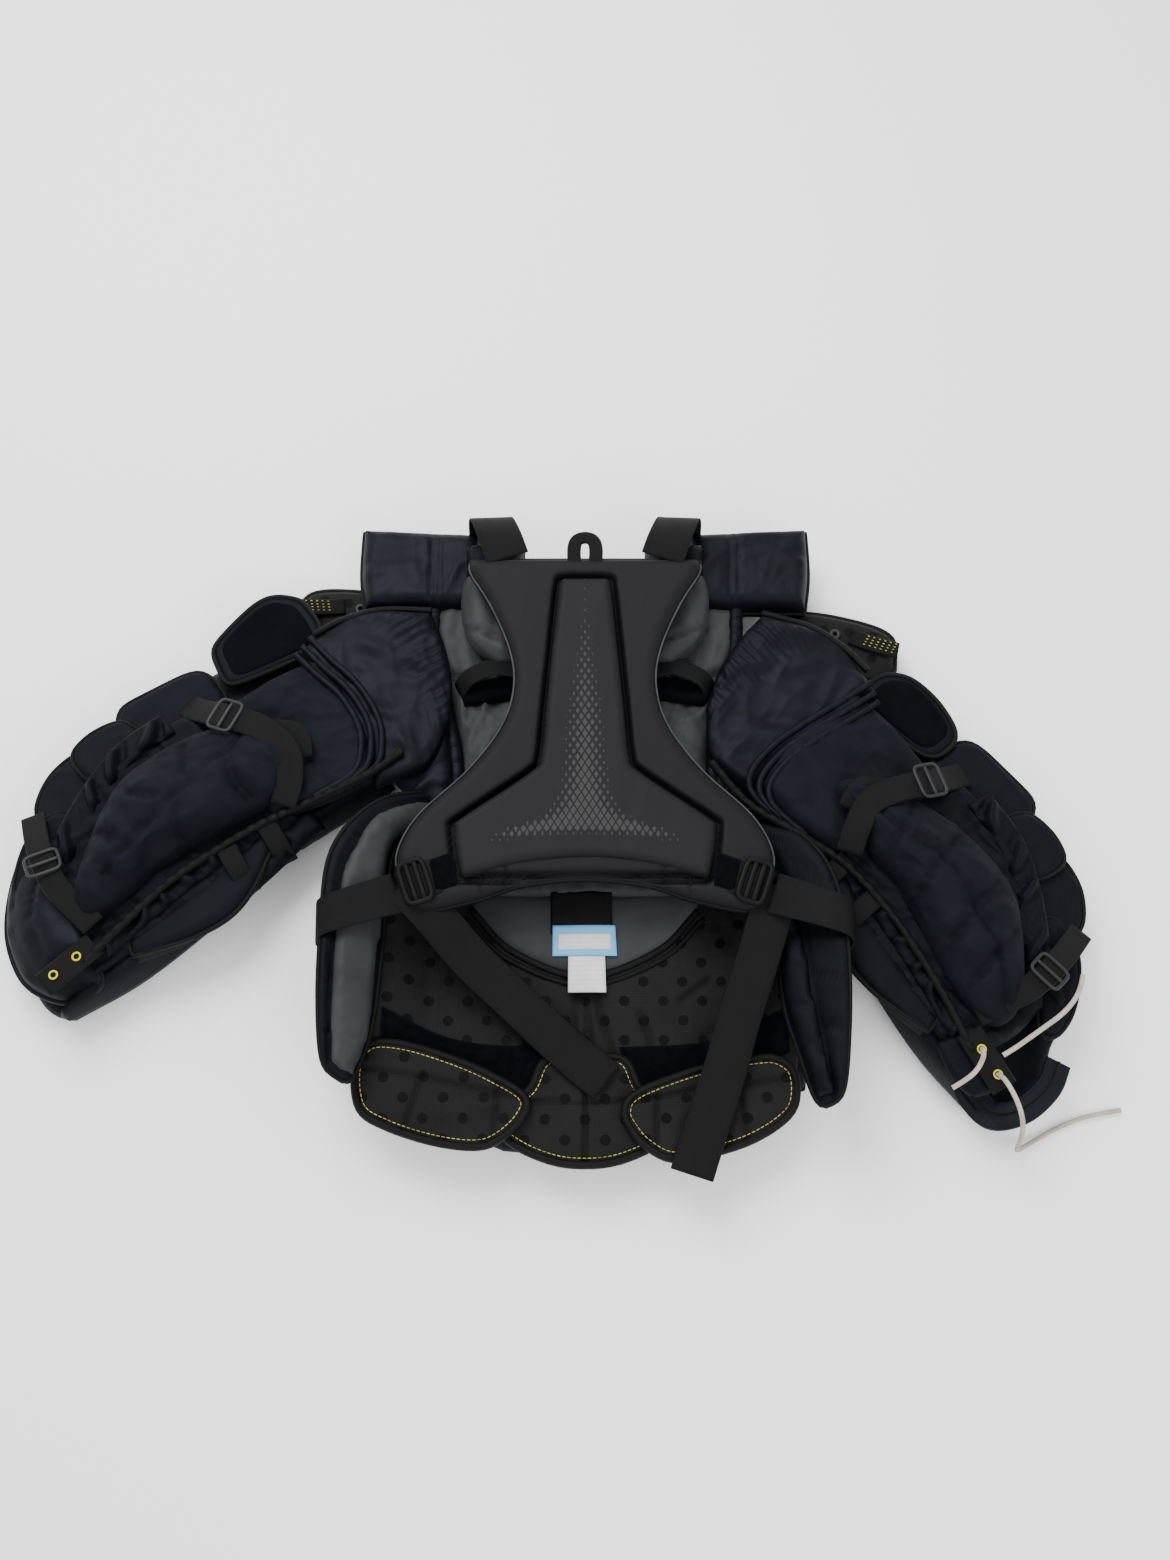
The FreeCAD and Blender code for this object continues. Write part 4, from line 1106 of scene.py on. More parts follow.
def make_shoulder_blocks():
    """Quilted pads on the shoulders, and the top straps that bend over the yoke."""
    for suffix, side in SIDES.items():
        corners = [(104, 258), (228, 256), (234, 352), (108, 346)]
        low_in, low_out, high_out, high_in = sided(corners, side)
        sides = [[low_in, low_out], [low_out, (side * 234, 300), high_out], [high_in, high_out],
                 [low_in, high_in]]
        seams = [[(side * 150, 262), (side * 152, 352)], [(side * 158, 262), (side * 160, 352)]]

        def quilting(x, y, gap):
            return (sum(groove(distance(x, y, seam), 2.2, 3) for seam in seams)
                    + 2.8 * creases(x, y, 46, 60, 0.3) + 1.3 * creases(x, y, 17, 64, 1.4))

        block, edge = cushion(f"shoulder_pad_{suffix}", sides, level=44, up=20, down=20, edge=16,
                              relief=quilting, step=3)
        dress(block, "satin", "torso", ("shoulder_blocks",) if side < 0 else ())
        binding(f"shoulder_pad_edge_{suffix}", edge, 44, "torso", 5, 8)
        points = [(side * 100, 343, 56), (side * 99, 347, 76), (side * 96, 341, 95),
                  (side * 91, 326, 106), (side * 84, 306, 110), (side * 78, 288, 108)]
        ways = [(0, 1, 0.1), (0, 1, 0.3), (0, 0.8, 0.7), (0, 0.4, 1), (0, 0.1, 1), (0, -0.1, 1)]
        webbing(f"top_webbing_{suffix}", points, 44, "torso", ("top_straps",) if side < 0 else (),
                upward=ways)


# ---------------------------------------------------------------- back pad

CORE_RIGHT = [(112, -46), (117, -38), (123, 2), (116, 12), (52, 58), (42, 74), (37, 130), (29, 220),
              (25, 258), (21, 264)]


def make_back():
    """Hourglass back pad: a base with a moat sewn round its raised core, edge tape, piping and stitches."""
    right = [(156, -76), (170, -54), (176, -22), (158, 16), (112, 62), (80, 108), (69, 150), (74, 190),
             (94, 238), (114, 272), (116, 284)]
    ring = ([(-104, -67), (-58, -52), (0, -46), (58, -52), (104, -67)] + right
            + [(104, 289), (0, 290), (-104, 289)])
    sides = around(ring + sided(right, -1)[::-1], (len(ring) + 10, 5, 15, 19))
    core_ring = np.array(CORE_RIGHT + sided(CORE_RIGHT, -1)[::-1], float)
    core_line = spread(np.vstack([core_ring, core_ring[:1]]), 400)

    def channels(x, y, gap):
        moat = distance(x, y, core_line, closed=True)
        keepers = sum(groove(np.abs(x - k), 1.6, 2.0) * (y < -32) for k in (-97, -74, 74, 97))
        return groove(moat - 2.5, 3.0, 10) + keepers + 0.5 * creases(x, y, 60, 70, 1.4)

    base, edge = cushion("back_base", sides, level=98, up=11, down=11, edge=12, relief=channels, step=2.2)
    dress(base, "back", "back", ("back_pad", "back_band"))
    binding("back_edge_tape", edge, 99, "back", 4, 6)
    for suffix, side in SIDES.items():
        line = spread([(side * (x + 0.5), y) for x, y in right[1:]], 80)
        pipe = carried(f"back_piping_{suffix}", flat(line[:, 0], line[:, 1], np.full(80, 102.5)),
                       round_section(2.0, 2.0, 8), (0, 0, 1))
        dress(pipe, "piping", "back")
        for index, x in enumerate((74, 97)):
            rise = -52 + (58 - x) * 0.28
            line = np.array([(side * x, rise - 2 + k * 2.2, 109.6) for k in range(9)])
            name = f"keeper_stitch_{suffix}_{index}"
            stitches(name, line, "back", pitch=3.6, long=2.6, thick=0.9, finish="binding")
    core_bottom = [(-112, -47), (-60, -34), (0, -28), (60, -34), (112, -47)]
    core_sides = (core_bottom, CORE_RIGHT, [(-21, 264), (21, 264)], sided(CORE_RIGHT, -1))
    core, _ = cushion("back_core_pad", core_sides, level=106, up=8.5, down=4, edge=8, step=2.2,
                      relief=lambda x, y, gap: 0.5 * creases(x, y, 70, 74, 1.4))
    dress(core, "core", "back", ("back_core",))
    make_back_fittings()


def make_back_fittings():
    """Hook patches, buckles and strap feeds at the lower corners, and the hanging loop at the top."""
    for suffix, side in SIDES.items():
        sides = corner_sides([(119, -54), (139, -60), (146, -30), (124, -22)], side)
        patch, _ = cushion(f"hook_patch_{suffix}", sides, level=110, up=1.8, down=1, edge=2, step=3, rim=0.8)
        dress(patch, "hooks", "back")
        along = (side * 0.94, -0.33, 0)
        buckle(f"waist_buckle_{suffix}", (side * 157, -51, 113), along, (24, 40), 2, "back",
               ("waist_buckles",) if side < 0 else (), thick=5.5, finish="insert")
        feed = [(side * 132, -43, 108), (side * 146, -48, 111), (side * 158, -52, 111),
                (side * 171, -57, 107)]
        webbing(f"buckle_feed_{suffix}", feed, 34, "back")
    arch = [(-10.5, 280, 106), (-11, 298, 108), (-8, 308, 108), (0, 311, 108), (8, 308, 108),
            (11, 298, 108), (10.5, 280, 106)]
    loop = carried("hanging_webbing", spread(arch, 44), tape_section(14, 3.4), (0, 0, 1))
    dress(loop, "webbing", "back", ("hanging_loop",))


def make_tails():
    """Waist strap tails, from their buckles to their cut ends."""
    routes = {
        "left": [(-170, -52, 106), (-160, -60, 108), (-138, -82, 98), (-106, -116, 76), (-70, -148, 62),
                 (-30, -184, 54), (0, -210, 54), (20, -226, 55)],
        "right": [(176, -52, 104), (172, -76, 104), (160, -116, 92), (142, -170, 76), (128, -216, 72),
                  (113, -258, 70), (104, -284, 68), (96, -309, 58)],
    }
    for suffix, points in routes.items():
        webbing(f"waist_tail_{suffix}", points, 40, f"tail_{suffix}", (f"strap_tail_{suffix}",),
                depth=2.0)


# ---------------------------------------------------------------- wings and belly flaps

WING_PLANS = {
    "left": ([(210, -226), (224, -226), (236, -210), (242, -155), (243, -90), (241, -31), (227, 8),
              (200, 40), (172, 54), (140, 58), (136, 34), (154, 24), (180, 2), (188, -39), (190, -98),
              (196, -179)], (0, 2, 9, 11),
             [(229, -216), (231, -157), (231, -101), (228, -45), (220, -16), (203, 22), (174, 42),
              (140, 51)]),
    "right": ([(208, -246), (220, -250), (232, -232), (240, -155), (240, -90), (232, -40), (214, -4),
               (190, 18), (164, 30), (140, 34), (136, 10), (150, 0), (172, -30), (182, -80), (184, -152),
               (196, -205)], (0, 2, 9, 11),
              [(222, -246), (214, -184), (206, -120), (198, -82), (186, -34), (172, 0), (152, 20)]),
}


def wing_skin(x, y):
    """Height of a side wing's middle, over its underside."""
    return flank(x) + WING_MIDDLE


def make_wing_shell(suffix, side):
    """Side wing's shell with its fold line and ribs sewn in, and the edge tape round it."""
    plan, corners, fold_line = WING_PLANS[suffix]
    sides = [line * np.array([side, 1]) for line in around(plan, corners)]
    divide = spread(sided(fold_line, side), 80)
    ribs = [sided([(214, y + 10), (256, y - 6)], side) for y in range(-190, 30, 46)]

    def tufts(x, y, gap):
        radial = 1.6 * creases(x, y, 22, 80, 0.4 if side < 0 else 2.7, 3.0)
        sewn = sum(groove(distance(x, y, rib), 2.6, 2.5) for rib in ribs)
        return groove(distance(x, y, divide), 2.6, 6) + radial + sewn

    shell, edge = cushion(f"wing_shell_{suffix}", sides, level=wing_skin, up=8, down=9, edge=12,
                          relief=tufts, step=3)
    dress(shell, "shell", f"wing_{suffix}", (f"wing_{suffix}",))
    binding(f"wing_edge_{suffix}", edge, lambda x, y: wing_skin(x, y) - 1, f"wing_{suffix}", 5, 8)


def make_wing_lining(suffix, side):
    """Stuffed lining inside the wing's fold line: grey satin on the left; on the right ribbed lining in the
    black shell finish, painted shade standing for the grey lining lying in shade.
    """
    plan, _, fold_line = WING_PLANS[suffix]
    inner = plan[11:] + plan[:1]
    low_end, high_end = inner[-1], inner[0]
    low_bend = (low_end[0] + 9, low_end[1] + 3)
    lines = ([low_end, low_bend, fold_line[0]], fold_line, [high_end, fold_line[-1]], inner[::-1])
    ribs = [sided([(170, y + 12), (232, y - 6)], side) for y in range(-200, 40, 34)] if side > 0 else []
    turn = 0.5 if side < 0 else 2.6

    def ripples(x, y, gap):
        sewn = sum(groove(distance(x, y, rib), 2.5, 3) for rib in ribs)
        return 1.7 * creases(x, y, 20, 90, turn, 3.0) + sewn

    lining, _ = cushion(f"wing_lining_{suffix}", [sided(line, side) for line in lines],
                        level=lambda x, y: wing_skin(x, y) + 7.5, up=4.5, down=3, edge=9, relief=ripples,
                        step=2.6, rim=7, swell=2)
    # Painted shade: the right lining gets the black shell finish in place of the grey satin, darkened as if
    # in shade.
    finish = "grey" if side < 0 else "shell"
    dress(lining, finish, f"wing_{suffix}")


def make_wing_strap(suffix, side):
    """Wing webbing, from the wing's outer edge up and over it to the buckle."""
    route = [(side * 247, -90, 78), (side * 249, -86, 94), (side * 242, -82, 107), (side * 224, -77, 113),
             (side * 198, -69, 113), (side * 174, -60, 106)]
    ways = [(side, 0, 0.1), (side, 0, 0.3), (side * 0.5, 0, 0.9), (side * 0.1, 0, 1), (0, 0, 1), (0, 0, 1)]
    webbing(f"wing_webbing_{suffix}", route, 40, f"wing_{suffix}", (f"wing_strap_{suffix}",), upward=ways)


def make_wings():
    for suffix, side in SIDES.items():
        make_wing_shell(suffix, side)
        make_wing_lining(suffix, side)
        make_wing_strap(suffix, side)


FLAP_PLANS = {
    "left": ([(-206, -250), (-181, -266), (-140, -279), (-103, -284), (-81, -279), (-59, -260),
              (-55, -240), (-87, -220), (-128, -203), (-171, -191), (-200, -192), (-212, -215)],
             (0, 3, 6, 10),
             [[(-210, -212), (-150, -222), (-60, -240)], [(-150, -218), (-166, -268)],
              [(-80, -226), (-84, -276)]]),
    "right": ([(42, -268), (54, -282), (76, -294), (103, -292), (144, -281), (176, -264), (192, -246),
               (193, -219), (180, -206), (161, -204), (115, -212), (68, -227), (42, -240), (36, -255)],
              (0, 4, 7, 12),
              [[(44, -244), (110, -232), (192, -222)], [(66, -238), (64, -290)],
               [(140, -228), (148, -280)]]),
    "centre": ([(-88, -258), (-66, -280), (-32, -295), (0, -299), (32, -295), (66, -280), (88, -258),
                (78, -244), (52, -232), (36, -204), (0, -202), (-36, -204), (-52, -232), (-78, -244)],
               (0, 6, 9, 11), [[(-90, -243), (90, -243)], [(0, -299), (0, -205)]]),
}


def make_belly_flaps():
    """Three net flaps over the lower belly, each with sewn panels, edge tape and a row of yellow thread."""
    for suffix, (plan, corners, seams) in FLAP_PLANS.items():
        level = 43 if suffix == "centre" else 54

        def panels(x, y, gap, seams=seams):
            return (sum(groove(distance(x, y, seam), 2.2, 3.5) for seam in seams)
                    + 1.3 * creases(x, y, 40, 100, 0.4))

        flap, edge = cushion(f"belly_{suffix}_flap", around(plan, corners), level=level, up=5, down=5,
                             edge=9, relief=panels, step=2.5)
        dress(flap, "net", f"belly_{suffix}", (f"belly_flap_{suffix}",))
        binding(f"belly_{suffix}_edge", edge, level + 1, f"belly_{suffix}", 8, 10)
        inner = inset(edge, 5.5)
        inner = np.vstack([inner, inner[:1]])
        heights = np.full(len(inner), level + 6.3)
        stitches(f"belly_{suffix}_thread", flat(inner[:, 0], inner[:, 1], heights), f"belly_{suffix}")


# ---------------------------------------------------------------- sleeves

def gutter(t):
    """Height of the sleeve's shell across it: two rims beside a hollow, and a flange that falls outwards."""
    return np.interp(t, [-86, -74, -66, -56, -46, 46, 56, 66, 78, 112, 152],
                     [44, 54, 60, 56, 20, 20, 56, 60, 44, 40, 26])


def half_gutter(a, t):
    """Half that height: the shell's middle, and how far it reaches up and down from there."""
    return gutter(t) / 2


def make_shell(suffix, place):
    """Outer shell above and below the elbow."""
    upper = ([(86, -72), (203, -72)], [(203, -72), (203, 148)], [(86, 140), (203, 148)],
             [(86, -72), (86, 140)])
    piece, _ = cushion(f"upper_guard_{suffix}", upper, level=half_gutter, up=half_gutter,
                       down=half_gutter, edge=16, place=place, step=5)
    dress(piece, "shell", f"upper_arm_{suffix}", (f"upper_shell_{suffix}",))
    lower = ([(206, -73), (300, -78), (400, -76), (476, -62)], [(476, -62), (488, -30), (482, 18)],
             [(206, 150), (300, 154), (350, 146), (400, 112), (440, 66), (482, 18)],
             [(206, -73), (206, 150)])
    piece, _ = cushion(f"forearm_guard_{suffix}", lower, level=half_gutter, up=half_gutter,
                       down=half_gutter, edge=16, place=place, step=5)
    dress(piece, "shell", f"forearm_{suffix}",
          (f"forearm_shell_{suffix}", f"elbow_pad_{suffix}"))


def make_shoulder_satin(suffix, place):
    """Loose satin that joins the sleeve to the yoke."""
    sides = ([(-42, 58), (-34, 20), (-20, -16), (4, -52)], [(4, -52), (50, -82), (104, -74)],
             [(96, 96), (88, 40), (92, -20), (104, -74)], [(-42, 58), (20, 98), (96, 96)])

    def folds(a, t, gap):
        gathers = 1.3 * np.sin(t * 0.6 + 7 * noise(a * 0.05, t * 0.08, 133)) * np.clip(0.7 - a / 30, 0, 1)
        return gathers + 6.5 * swells(a, t, 25, 130, 0.9) + 1.8 * creases(a, t, 26, 137, 1.9, 3.0)

    satin, _ = cushion(f"shoulder_satin_{suffix}", sides, level=62, up=9, down=4, edge=14, relief=folds,
                       place=place, step=2.4)
    across = over_shoulder(suffix)
    dress(satin, "satin", None, (f"upper_liner_{suffix}",), across=across)
    rim_line = spread([(-44, 60), (0, 90), (40, 102), (70, 104)], 60)
    rope(f"shoulder_rim_{suffix}", rim_line, 64, 7, 8, None, place, across=across)


def make_upper_lining(suffix, place):
    """Brushed lining of the upper sleeve inside the double welt."""
    sides = ([(100, -66), (150, -62), (206, -48)], [(206, -48), (206, 80)],
             [(80, 76), (130, 84), (206, 84)], [(100, -66), (78, -10), (80, 76)])

    def folds(a, t, gap):
        return (3.2 * creases(a, t, 34, 150, 1.1) + 1.6 * creases(a, t, 14, 155, 0.2)
                + 2.5 * swells(a, t, 22, 158))

    lining, _ = cushion(f"upper_lining_{suffix}", sides, level=66, up=14, down=6, edge=22, relief=folds,
                        place=place, step=2.8)
    dress(lining, "dome", f"upper_arm_{suffix}", (f"biceps_pad_{suffix}",))
    arc = [(88, 92), (82, 60), (74, 26), (75, -12), (86, -38), (106, -56), (150, -56)]
    if suffix == "right":
        arc = [(96, 88), (94, 58), (90, 16), (89, -26), (98, -60), (118, -72), (160, -66)]
    for index, shift in enumerate((-11, 0, 10)):
        line = spread([(a + shift, t * (1 - shift * 0.005)) for a, t in arc], 110)
        ripple = 75.5 + 1.5 * index + 0.3 * np.sin(np.arange(110) * 0.8)
        rope(f"welt_{suffix}_{index}", line, ripple, 7, 8, f"upper_arm_{suffix}", place, "satin")


DOME_PLANS = {
    "left": ([(146, -18), (202, -38), (298, -26), (351, -22), (396, -14), (406, 2), (396, 22), (338, 64),
              (290, 84), (229, 78), (180, 56), (148, 30), (134, 6)], (0, 4, 6, 11),
             [[(176, 44), (205, 28), (262, 24), (330, 14), (362, 6)], [(226, 76), (236, 52), (250, 34)],
              [(304, 82), (296, 52), (280, 34)], [(208, 18), (216, -6), (212, -34)],
              [(272, 14), (286, -6), (290, -28)], [(334, 24), (340, 40), (352, 54)]]),
    "right": ([(152, -12), (223, -28), (261, -24), (322, -26), (390, -24), (421, -8), (412, 24),
               (361, 60), (315, 79), (252, 72), (197, 48), (156, 20), (144, 4)], (0, 4, 6, 11),
              [[(196, 46), (216, 22), (232, -26)], [(246, 70), (262, 30), (286, -26)],
               [(300, 78), (318, 30), (340, -25)], [(350, 64), (362, 24), (378, -22)],
               [(170, 0), (216, 10), (262, 30), (318, 30), (362, 24), (410, 4)]]),
}


def make_dome(suffix, place):
    """Stuffed inner pad of the sleeve, from the upper strap over the elbow to the wrist."""
    plan, corners, seams = DOME_PLANS[suffix]

    def folds(a, t, gap):
        sewn = sum(groove(distance(a, t, spread(seam, 30)), 3.0, 5.5) for seam in seams)
        waffle = (1.1 * np.sin(a * 0.7) * np.sin(t * 0.7) * (np.hypot(a - 374, (t - 2) * 1.2) < 22)
                  * (suffix == "left"))
        rolls = 4.6 * creases(a, t, 31, 170, 1.35, 2.8) + 2.0 * creases(a, t, 14, 175, 0.5, 2.8)
        return 1.25 * sewn + waffle + rolls + 2.5 * swells(a, t, 20, 178, 0.8)

    dome, _ = cushion(f"sleeve_dome_{suffix}", around(plan, corners), level=70, up=22, down=5, edge=34,
                      relief=folds, place=place, step=3, rim=7, swell=7)
    dress(dome, "dome", None, (f"forearm_pad_{suffix}",),
          across=over_elbow(suffix))


def ruffle(name, line, place, body, wide, height, wave, deep, seed):
    """A gathered strip of cloth: its height follows deep * sin(run / wave) with a drifting phase."""
    route = spread(line, 40)
    ahead = np.gradient(route, axis=0)
    ahead /= np.linalg.norm(ahead, axis=1, keepdims=True)
    side = np.stack([-ahead[:, 1], ahead[:, 0]], axis=1) * wide / 2
    low, high = route - side, route + side

    def gathers(a, t, gap):
        run = (a - line[0][0]) + 0.5 * (t - line[0][1])
        drift = 5 * noise(a / 30, t / 30, seed)
        return deep * np.sin(run / wave + drift) + deep * 0.6 * np.sin(run / wave * 1.9 + 2 * drift)

    piece, _ = cushion(name, (low, [low[-1], high[-1]], high, [low[0], high[0]]), level=height, up=4,
                       down=3, edge=wide * 0.4, relief=gathers, place=place, step=2.4)
    dress(piece, "shell", body)


def deep_folds(a, t, gap):
    return 5.0 * creases(a, t, 24, 190, 0.25, 3.0) + 2.4 * creases(a, t, 12, 195, 1.2, 3.0)


def make_side_gusset(suffix, place):
    """Gathered cloth between the dome and the sleeve's two edges, and the roll along its inner seam."""
    sides = ([(180, -62), (260, -66), (340, -66), (430, -56)], [(430, -56), (434, 0), (424, 44)],
             [(180, 96), (260, 112), (340, 104), (424, 44)], [(180, -62), (180, 96)])
    gusset, _ = cushion(f"sleeve_gusset_{suffix}", sides, level=56, up=9, down=3, edge=14,
                        relief=deep_folds, place=place, step=2.8)
    dress(gusset, "shell", None, across=over_elbow(suffix))
    route = [(64, -60), (100, -62), (140, -58), (200, -50), (260, -40), (320, -34), (380, -38),
             (426, -44)]
    if suffix == "right":
        route = [(56, -88), (110, -86), (165, -66), (223, -48), (279, -38), (331, -36), (380, -38),
                 (426, -44)]
    line = spread(route, 200)
    ripple = 77.0 + 1.0 * np.sin(np.arange(200) * 0.9)
    rope(f"inner_piping_{suffix}", line, ripple, 8, 9, None, place, across=over_elbow(suffix))


def make_inner_guard(suffix, place):
    """Guard along the sleeve's inner edge, its pocket, and a gathered strip along each edge of the dome."""
    lower = f"forearm_{suffix}"
    sides = ([(166, -78), (230, -86), (300, -88), (350, -84), (392, -70)], [(392, -70), (390, -56)],
             [(166, -54), (280, -48), (390, -56)], [(166, -78), (166, -54)])
    guard, _ = cushion(f"inner_guard_{suffix}", sides, level=54, up=9, down=12, edge=12,
                       relief=deep_folds, place=place, step=3)
    dress(guard, "shell", None, across=over_elbow(suffix))
    pocket = ([(214, -60), (280, -92), (330, -90), (392, -64)], [(392, -64), (386, -50)],
              [(214, -48), (280, -52), (386, -50)], [(214, -60), (214, -48)])
    flap, edge = cushion(f"inner_pocket_{suffix}", pocket, level=62, up=5, down=4, edge=8, place=place,
                         step=3, relief=lambda a, t, gap: 2.0 * creases(a, t, 26, 198, 0.2, 3.0))
    dress(flap, "shell", lower)
    binding(f"inner_pocket_edge_{suffix}", edge, 63, lower, 5, 6, place)
    outer_line = [(226, 104), (278, 106), (326, 92), (372, 70), (400, 52)]
    inner_line = [(250, -44), (300, -42), (350, -42), (408, -44)]
    ruffle(f"outer_ruffle_{suffix}", outer_line, place, lower, wide=26, height=66, wave=5.2, deep=4.0,
           seed=301)
    ruffle(f"inner_ruffle_{suffix}", inner_line, place, lower, wide=16, height=70, wave=4.8, deep=3.2,
           seed=307)


def make_outer_pads(suffix, place):
    """Overlapping pads along the sleeve's outer edge, each with its binding."""
    across = over_elbow(suffix, 190, 220)
    lower = f"forearm_{suffix}"
    pads = {
        "elbow_wing": ([(186, 92), (240, 96), (262, 112), (266, 140), (250, 158), (214, 152), (186, 142),
                        (178, 116)], (0, 2, 4, 6), 44, across, None),
        "mid_wing": ([(262, 98), (300, 98), (320, 114), (318, 144), (296, 152), (270, 148), (256, 138),
                      (252, 114)], (0, 2, 4, 6), 52, None, lower),
        "forearm_wing": ([(306, 92), (350, 92), (378, 100), (378, 126), (350, 146), (318, 150),
                          (302, 140), (298, 112)], (0, 2, 4, 6), 42, None, lower),
        "wrist_wing": ([(350, 62), (400, 54), (440, 30), (452, 42), (438, 72), (402, 102), (366, 108),
                        (350, 90)], (0, 3, 5, 7), 50, None, lower),
    }

    def folds(a, t, gap):
        return 2.2 * creases(a, t, 30, 210, 0.2)

    for label, (plan, corners, level, joined, body) in pads.items():
        piece, edge = cushion(f"{label}_{suffix}", around(plan, corners), level=level, up=6, down=8,
                              edge=8, relief=folds, place=place, step=3)
        dress(piece, "shell", body, across=joined)
        binding(f"{label}_edge_{suffix}", edge, level + 1, body, 5, 7, place, across=joined)


COVER_PLANS = {
    "left": ([(64, 100), (76, 93), (116, 97), (158, 104), (170, 112), (169, 130), (165, 148), (154, 157),
              (124, 167), (100, 172), (82, 169), (66, 156), (60, 144), (59, 118)], (0, 3, 7, 10)),
    "right": ([(88, 86), (100, 80), (132, 84), (164, 90), (178, 98), (181, 112), (178, 128), (166, 137),
               (138, 142), (112, 140), (96, 134), (84, 122), (80, 110), (81, 96)], (0, 3, 7, 10)),
}


def make_biceps_flap(suffix, place):
    """Cover over the biceps with its edge tape, and the pile on top of it."""
    plan, corners = COVER_PLANS[suffix]
    centre = np.mean(plan, axis=0)
    flap, edge = cushion(f"biceps_cover_{suffix}", around(plan, corners), level=52, up=5, down=5, edge=8,
                         place=place, step=2.6)
    dress(flap, "shell", f"arm_flap_{suffix}", (f"biceps_flap_{suffix}",))
    binding(f"biceps_cover_edge_{suffix}", edge, 53.5, f"arm_flap_{suffix}", 6, 8, place)
    small = [tuple(centre + (np.array(spot) - centre) * 0.84) for spot in plan]
    pile, _ = cushion(f"biceps_velour_{suffix}", around(small, corners), level=56.6, up=1.6, down=1,
                      edge=3, place=place, step=3, rim=0.8)
    dress(pile, "velour", f"arm_flap_{suffix}")


def make_shoulder_cap(suffix, place):
    """Net cap over the shoulder's end, with its tab, a block of yellow thread and a snap."""
    sides = ([(-32, 56), (30, 60), (84, 84)], [(84, 84), (86, 120), (76, 146)],
             [(-50, 88), (-6, 134), (44, 166), (76, 146)], [(-32, 56), (-48, 68), (-50, 88)])

    def folds(a, t, gap):
        return 1.5 * creases(a, t, 30, 230, 0.2)

    body = f"cap_{suffix}"
    cap, edge = cushion(f"shoulder_wing_{suffix}", sides, level=20, up=14, down=17, edge=14, relief=folds,
                        place=place, step=3)
    dress(cap, "net", body, (f"shoulder_cap_{suffix}",))
    binding(f"shoulder_wing_edge_{suffix}", edge, 22, body, 7, 10, place)
    tab = sleeve_route(suffix, ((24, 128, 37), (46, 140, 40), (66, 156, 38)))
    webbing(f"cap_tab_{suffix}", tab, 18, body)
    for row in (-5, -1.6, 1.6, 5):
        spots = [(38 + k * 3.4 - row * 0.4, 136 + row + k * 2.4, 41.2) for k in range(8)]
        name = f"cap_thread_{suffix}_{int(row * 10 + 60)}"
        stitches(name, sleeve_route(suffix, spots), body, pitch=4.2, long=2.4, thick=1.1)
    spot = sleeve_spot(suffix, 12, 116, 37)
    snap = level_ring(f"cap_snap_{suffix}", spot, 4, round_section(4.5, 4, 8), 24)
    dress(snap, "plastic", body)


def make_upper_strap(suffix):
    """Strap over the elbow end of the upper sleeve, its tucked end and its slider."""
    upper = f"upper_arm_{suffix}"
    spots = ((206, 112, 56), (202, 94, 70), (190, 64, 92), (168, 30, 101), (158, -4, 98), (170, -30, 92),
             (190, -46, 84))
    if suffix == "right":
        spots = ((204, 112, 56), (202, 92, 70), (200, 66, 92), (190, 32, 102), (184, 2, 101),
                 (196, -24, 96), (212, -42, 86))
    points = sleeve_route(suffix, spots)
    webbing(f"upper_webbing_{suffix}", points, 26, upper, (f"upper_strap_{suffix}",))
    tucked = [(spots[3][0] - 4, 24, 98), (spots[4][0] - 16, 6, 94), (spots[4][0] - 8, -16, 90)]
    webbing(f"upper_tuck_{suffix}", sleeve_route(suffix, tucked), 24, upper)
    along = np.array(points[2]) - np.array(points[3])
    centre = sleeve_spot(suffix, spots[2][0] - 2, spots[2][1] - 3, 97)
    buckle(f"upper_slider_{suffix}", centre, along, (26, 33), 1, upper, (f"upper_buckle_{suffix}",),
           upward=(0.1, 0.1, 1), thick=3.6)


def make_wrist_strap(suffix):
    """Strap near the wrist with its slider, and two webbing tabs on the sleeve's inner edge."""
    lower = f"forearm_{suffix}"
    spots = ((382, 116, 60), (392, 88, 72), (400, 58, 82), (404, 30, 86), (402, 4, 84), (400, -22, 80))
    points = sleeve_route(suffix, spots)
    webbing(f"wrist_webbing_{suffix}", points, 24, lower, (f"forearm_strap_{suffix}",))
    along = np.array(points[1]) - np.array(points[2])
    buckle(f"wrist_slider_{suffix}", sleeve_spot(suffix, 400, 58, 86), along, (25, 31), 1, lower,
           (f"forearm_buckle_{suffix}",), upward=(0.1, 0.1, 1), thick=3.6)
    for index, a in enumerate((216, 262)):
        spots = ((a, -44, 78), (a + 3, -60, 74), (a + 6, -76, 64), (a + 8, -84, 48))
        webbing(f"inner_tab_{suffix}_{index}", sleeve_route(suffix, spots), 20, lower)


def make_wrist_bowl(place):
    """The left sleeve's open leather cuff: a bowl that rises inwards from its rim, with two sewn hems."""
    plan = [(426, -62), (452, -60), (474, -40), (486, -4), (474, 40), (446, 76), (414, 99), (402, 96),
            (408, 50), (402, 6), (412, -22), (422, -42)]
    rim_line = spread(plan[1:7], 60)

    def bowl(a, t):
        return 36 + 30 * np.clip(distance(a, t, rim_line) / 46, 0, 1) ** 0.7

    def hems(a, t, gap):
        run = distance(a, t, rim_line)
        return 2.4 * creases(a, t, 34, 250, 1.2) + groove(run - 12, 1.5, 2.2) + groove(run - 34, 1.8, 3)

    cuff, edge = cushion("wrist_bowl_left", around(plan, (0, 1, 6, 7)), level=bowl, up=6, down=5, edge=9,
                         place=place, step=2.2, relief=hems)
    dress(cuff, "leather", "forearm_left", ("wrist_cuff_left",))
    binding("wrist_bowl_edge_left", edge, bowl, "forearm_left", 5, 7, place, finish="leather")


